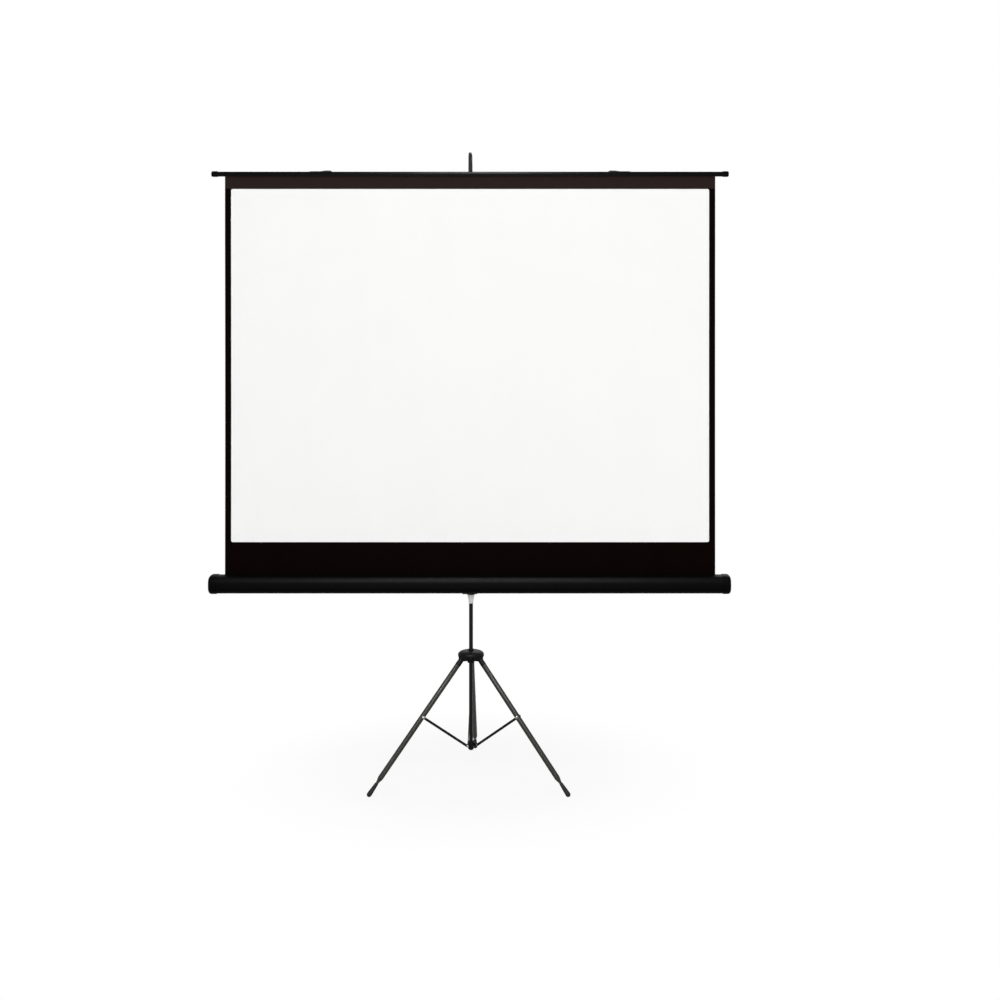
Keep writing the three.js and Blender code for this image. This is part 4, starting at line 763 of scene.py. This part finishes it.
def drape(x, z):
    """How far the cloth stands off its plane: slow upright ripples and a slight backward curl along both side
    edges, all fading to nothing at the case and a hand's breadth below the slat."""
    share = np.clip((z - slack_low) / (slack_high - slack_low), 0, 1)
    hold = np.sin(np.pi * share) ** 0.7
    ripple = 0.0007 * np.sin(2 * np.pi * x / 0.34 + 1.1 * share)
    ripple += 0.0005 * np.sin(2 * np.pi * x / 0.19 - 2.0 * share)
    edge = 0.0018 * (np.abs(x) / (sheet_wide / 2)) ** 10
    return hold * (edge + ripple + 0.0012)


def cloth(name, half_width, z, stand, thick):
    """Sheet: a grid over the picture plane, moved by the drape, with its own thin wall."""
    across = np.linspace(-1, 1, 141)
    x = across[None, :] * half_width[:, None]
    tall = np.broadcast_to(z[:, None], x.shape)
    rows = np.stack([x, sheet_y - stand + drape(x, tall), tall], -1)
    back = rows + (0, thick, 0)
    whole = np.concatenate([rows, back[:, ::-1]], axis=1)
    return skin(name, whole, crease=50.0)


levels = np.linspace(sheet_low.z, sheet_high.z, 111)
backing = cloth("cloth_backing", np.full(len(levels), sheet_wide / 2), levels, 0.00025, 0.0005)
settle(backing, black_cloth, "case", "black_sheet", "screen_mask_sheet")
rounded = white_corner * (1 - np.cos(np.linspace(0, np.pi / 2, 9)))
straight = np.linspace(white_low.z + white_corner, white_high.z - white_corner, 97)[1:-1]
levels = np.r_[white_low.z + rounded, straight, white_high.z - rounded[::-1]]
near = np.minimum(levels - white_low.z, white_high.z - levels)
bow = np.sqrt(np.maximum(white_corner ** 2 - (white_corner - near) ** 2, 0))
shrink = np.where(near < white_corner, white_corner - bow, 0)
field = cloth("cloth_white_field", white_wide / 2 - shrink, levels, 0.0008, 0.0003)
settle(field, white_cloth, "case", "white_face", "screen_white_face")
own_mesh(backing)
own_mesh(field)
paint("roller_safety_wraps", black_cloth)

# Slat: a drawn aluminium bar, black anodised, with an arched top and a groove below for the hem of the cloth.
# Moulded knobs close its ends, and two low pads, each with a tongue, protect it when it lies on the case.
slat_black = coat("slat_black", (0.0016, 0.0015, 0.0014), 0.3, shine=0.025, cloud=0.18, streak=0.25)
low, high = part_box("slat_bar")
slat_y, slat_z = (low.y + high.y) / 2, (low.z + high.z) / 2
slat_deep, slat_tall = high.y - low.y, high.z - low.z
half, arch_tall, groove_half, groove_deep = slat_deep / 2, 0.01, 0.00055, 0.007
arch = np.linspace(0, np.pi, 33)
arched_top = np.stack([half * np.cos(arch), high.z - arch_tall + arch_tall * np.sin(arch)], 1)
section = np.concatenate([
    [(groove_half, low.z), (half, low.z)], arched_top, [(-half, low.z), (-groove_half, low.z)],
    [(-groove_half, low.z + groove_deep), (groove_half, low.z + groove_deep)],
])
rows = np.zeros((5, len(section), 3))
rows[:, :, 0] = np.linspace(low.x, high.x, 5)[:, None]
rows[:, :, 1:] = section + (slat_y, 0)
slat = soften(skin("slat_profile", rows, crease=30.0), 0.0003, 50.0)
settle(slat, slat_black, "slat", "slat_metal", "slat_bar")
knob_lap, knob_round = 0.0016, 0.006
knob_mouth = [(-0.001, 0.0), (0.0009, 0.0), (0.0014, 0.0005), (knob_lap, 0.0016), (knob_lap, 0.005),
              (0.0011, 0.0056), (0.0011, 0.0066), (knob_lap, 0.0072)]
pad_front, pad_crest, pad_slope, pad_drop = 0.009, 0.02, 0.026, 0.55
pad_tongue, pad_tip, pad_sunk, pad_least = 0.032, 0.012, 0.0008, 0.02
for side, sign in (("right", 1), ("left", -1)):
    near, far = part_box(f"slat_knob_{side}")
    inner_x, outer_x = (near.x, far.x) if sign > 0 else (far.x, near.x)
    turn = np.linspace(0, np.pi / 2, 8)
    steps = [(grow, inner_x + sign * run) for grow, run in knob_mouth]
    grown = knob_lap - knob_round * (1 - np.cos(turn))
    steps += list(zip(grown, outer_x - sign * knob_round * (1 - np.sin(turn))))
    knob = capped(f"slat_end_{side}", steps, slat_deep, slat_tall, (slat_y, slat_z), 3.5, 72)
    settle(knob, cap_black, "slat", "black_plastic", f"slat_knob_{side}")
    near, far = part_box(f"slat_pad_{side}")
    station = np.linspace(0, far.x - near.x + pad_tongue, 61)
    rise = np.sin(np.pi / 2 * np.minimum(1, station / pad_front)) ** 0.7
    slope = np.clip((station - pad_crest) / pad_slope, 0, 1)
    tip = np.clip((station - station[-1]) / pad_tip + 1, 0, 1)
    swell = rise * (1 - pad_drop * slope ** 2 * (3 - 2 * slope)) * np.sqrt(1 - tip ** 2)
    swell = np.maximum(swell, pad_least)
    arch = np.linspace(0, np.pi, 21)
    rows = np.zeros((len(station), len(arch), 3))
    rows[:, :, 0] = (near.x + station if sign > 0 else far.x - station)[:, None]
    rows[:, :, 1] = slat_y + (far.y - near.y) / 2 * np.sign(np.cos(arch)) * np.abs(np.cos(arch)) ** 0.6
    foot_z = near.z - pad_sunk
    rows[:, :, 2] = foot_z + (far.z - foot_z) * swell[:, None] * np.abs(np.sin(arch)) ** 0.5
    settle(skin(f"rest_pad_{side}", rows, crease=45.0), rubber, "slat", "black_plastic", f"slat_pad_{side}")


# Hanger: a bent steel strap in black paint on the back of the slat, that hooks over the bracket's lip.
# Its foot is broader than its neck and holds two rivets.
def filleted(corners, radius, steps=7):
    """Path through the corners, each replaced by a curve that starts and ends one radius away from it."""
    corners = np.array(corners, float)
    run = [corners[:1]]
    for before, at, after in zip(corners, corners[1:], corners[2:]):
        back = at + (before - at) / np.linalg.norm(before - at) * radius
        on = at + (after - at) / np.linalg.norm(after - at) * radius
        run.append(bent_line([back, at, on], steps))
    run.append(corners[-1:])
    return np.concatenate(run)


low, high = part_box("hanger_strap")
strap, strap_wide, hook_drop = 0.002, 0.013, 0.013
front_y, rear_y, bend_z = low.y + strap / 2, high.y - strap / 2, high.z - strap / 2
path = filleted([(front_y, low.z), (front_y, bend_z), (rear_y, bend_z), (rear_y, high.z - hook_drop)], 0.003)
path = np.concatenate([bent_line([path[0], path[1]], 12)[:-1], path[1:]])
high_up = (path[:, 1] - low.z) / (high.z - low.z)
taper = np.interp(high_up, [0, 0.78, 0.9, 0.96, 1.0], [1.0, 1.0, 0.93, 0.8, 0.62])
hook = ribbon("hanger_hook", path, strap_wide, strap, 0.0007, 4, taper=taper)
settle(hook, tube_black, "slat", "bare_steel", "hanger_strap")
shape = [(-0.011, 0), (0.011, 0), (0.011, 0.011), (0.0055, 0.015), (-0.0055, 0.015), (-0.011, 0.011)]
foot = slab("hanger_foot", shape, (-0.00005, strap + 0.0001), (0, low.y + strap, low.z), (1, 0, 0), (0, 0, 1),
            0.0006)
settle(foot, tube_black, "slat", "bare_steel")
rivet_apart, rivet_up = 0.0078, 0.006
for side, sign in (("left", -1), ("right", 1)):
    rivet = spin(f"hanger_rivet_{side}", [(0.0022, -0.0006)] + dome(0.0022, 0.0013, -0.0003),
                 (sign * rivet_apart, low.y + strap, low.z + rivet_up), (0, 1, 0))
    settle(rivet, zinc, "slat", "zinc_steel")

# Inner tube: the slimmer flat-oval tube that draws out of the mast, in the same black paint.
# A nylon shoe inside the mast guides its lower end.
inner_mast = drawn_tube("sliding_tube", "mast_inner_tube", 0.01, 0.02, wall=0.0012, chamfer=0.0003)
settle(inner_mast, tube_black, "extension", "tube_paint", "mast_inner_tube")
paint("inner_tube_stop", nylon)

# Bracket: the black moulded gooseneck on the inner tube, whose lip holds the hanger.
# A plated rivet through its hidden spigot fixes it in the tube.
settle(recast("top_bracket", 0.0009, 30.0), moulded_black, "extension", "black_plastic", "top_bracket")
paint("bracket_rivet", zinc)
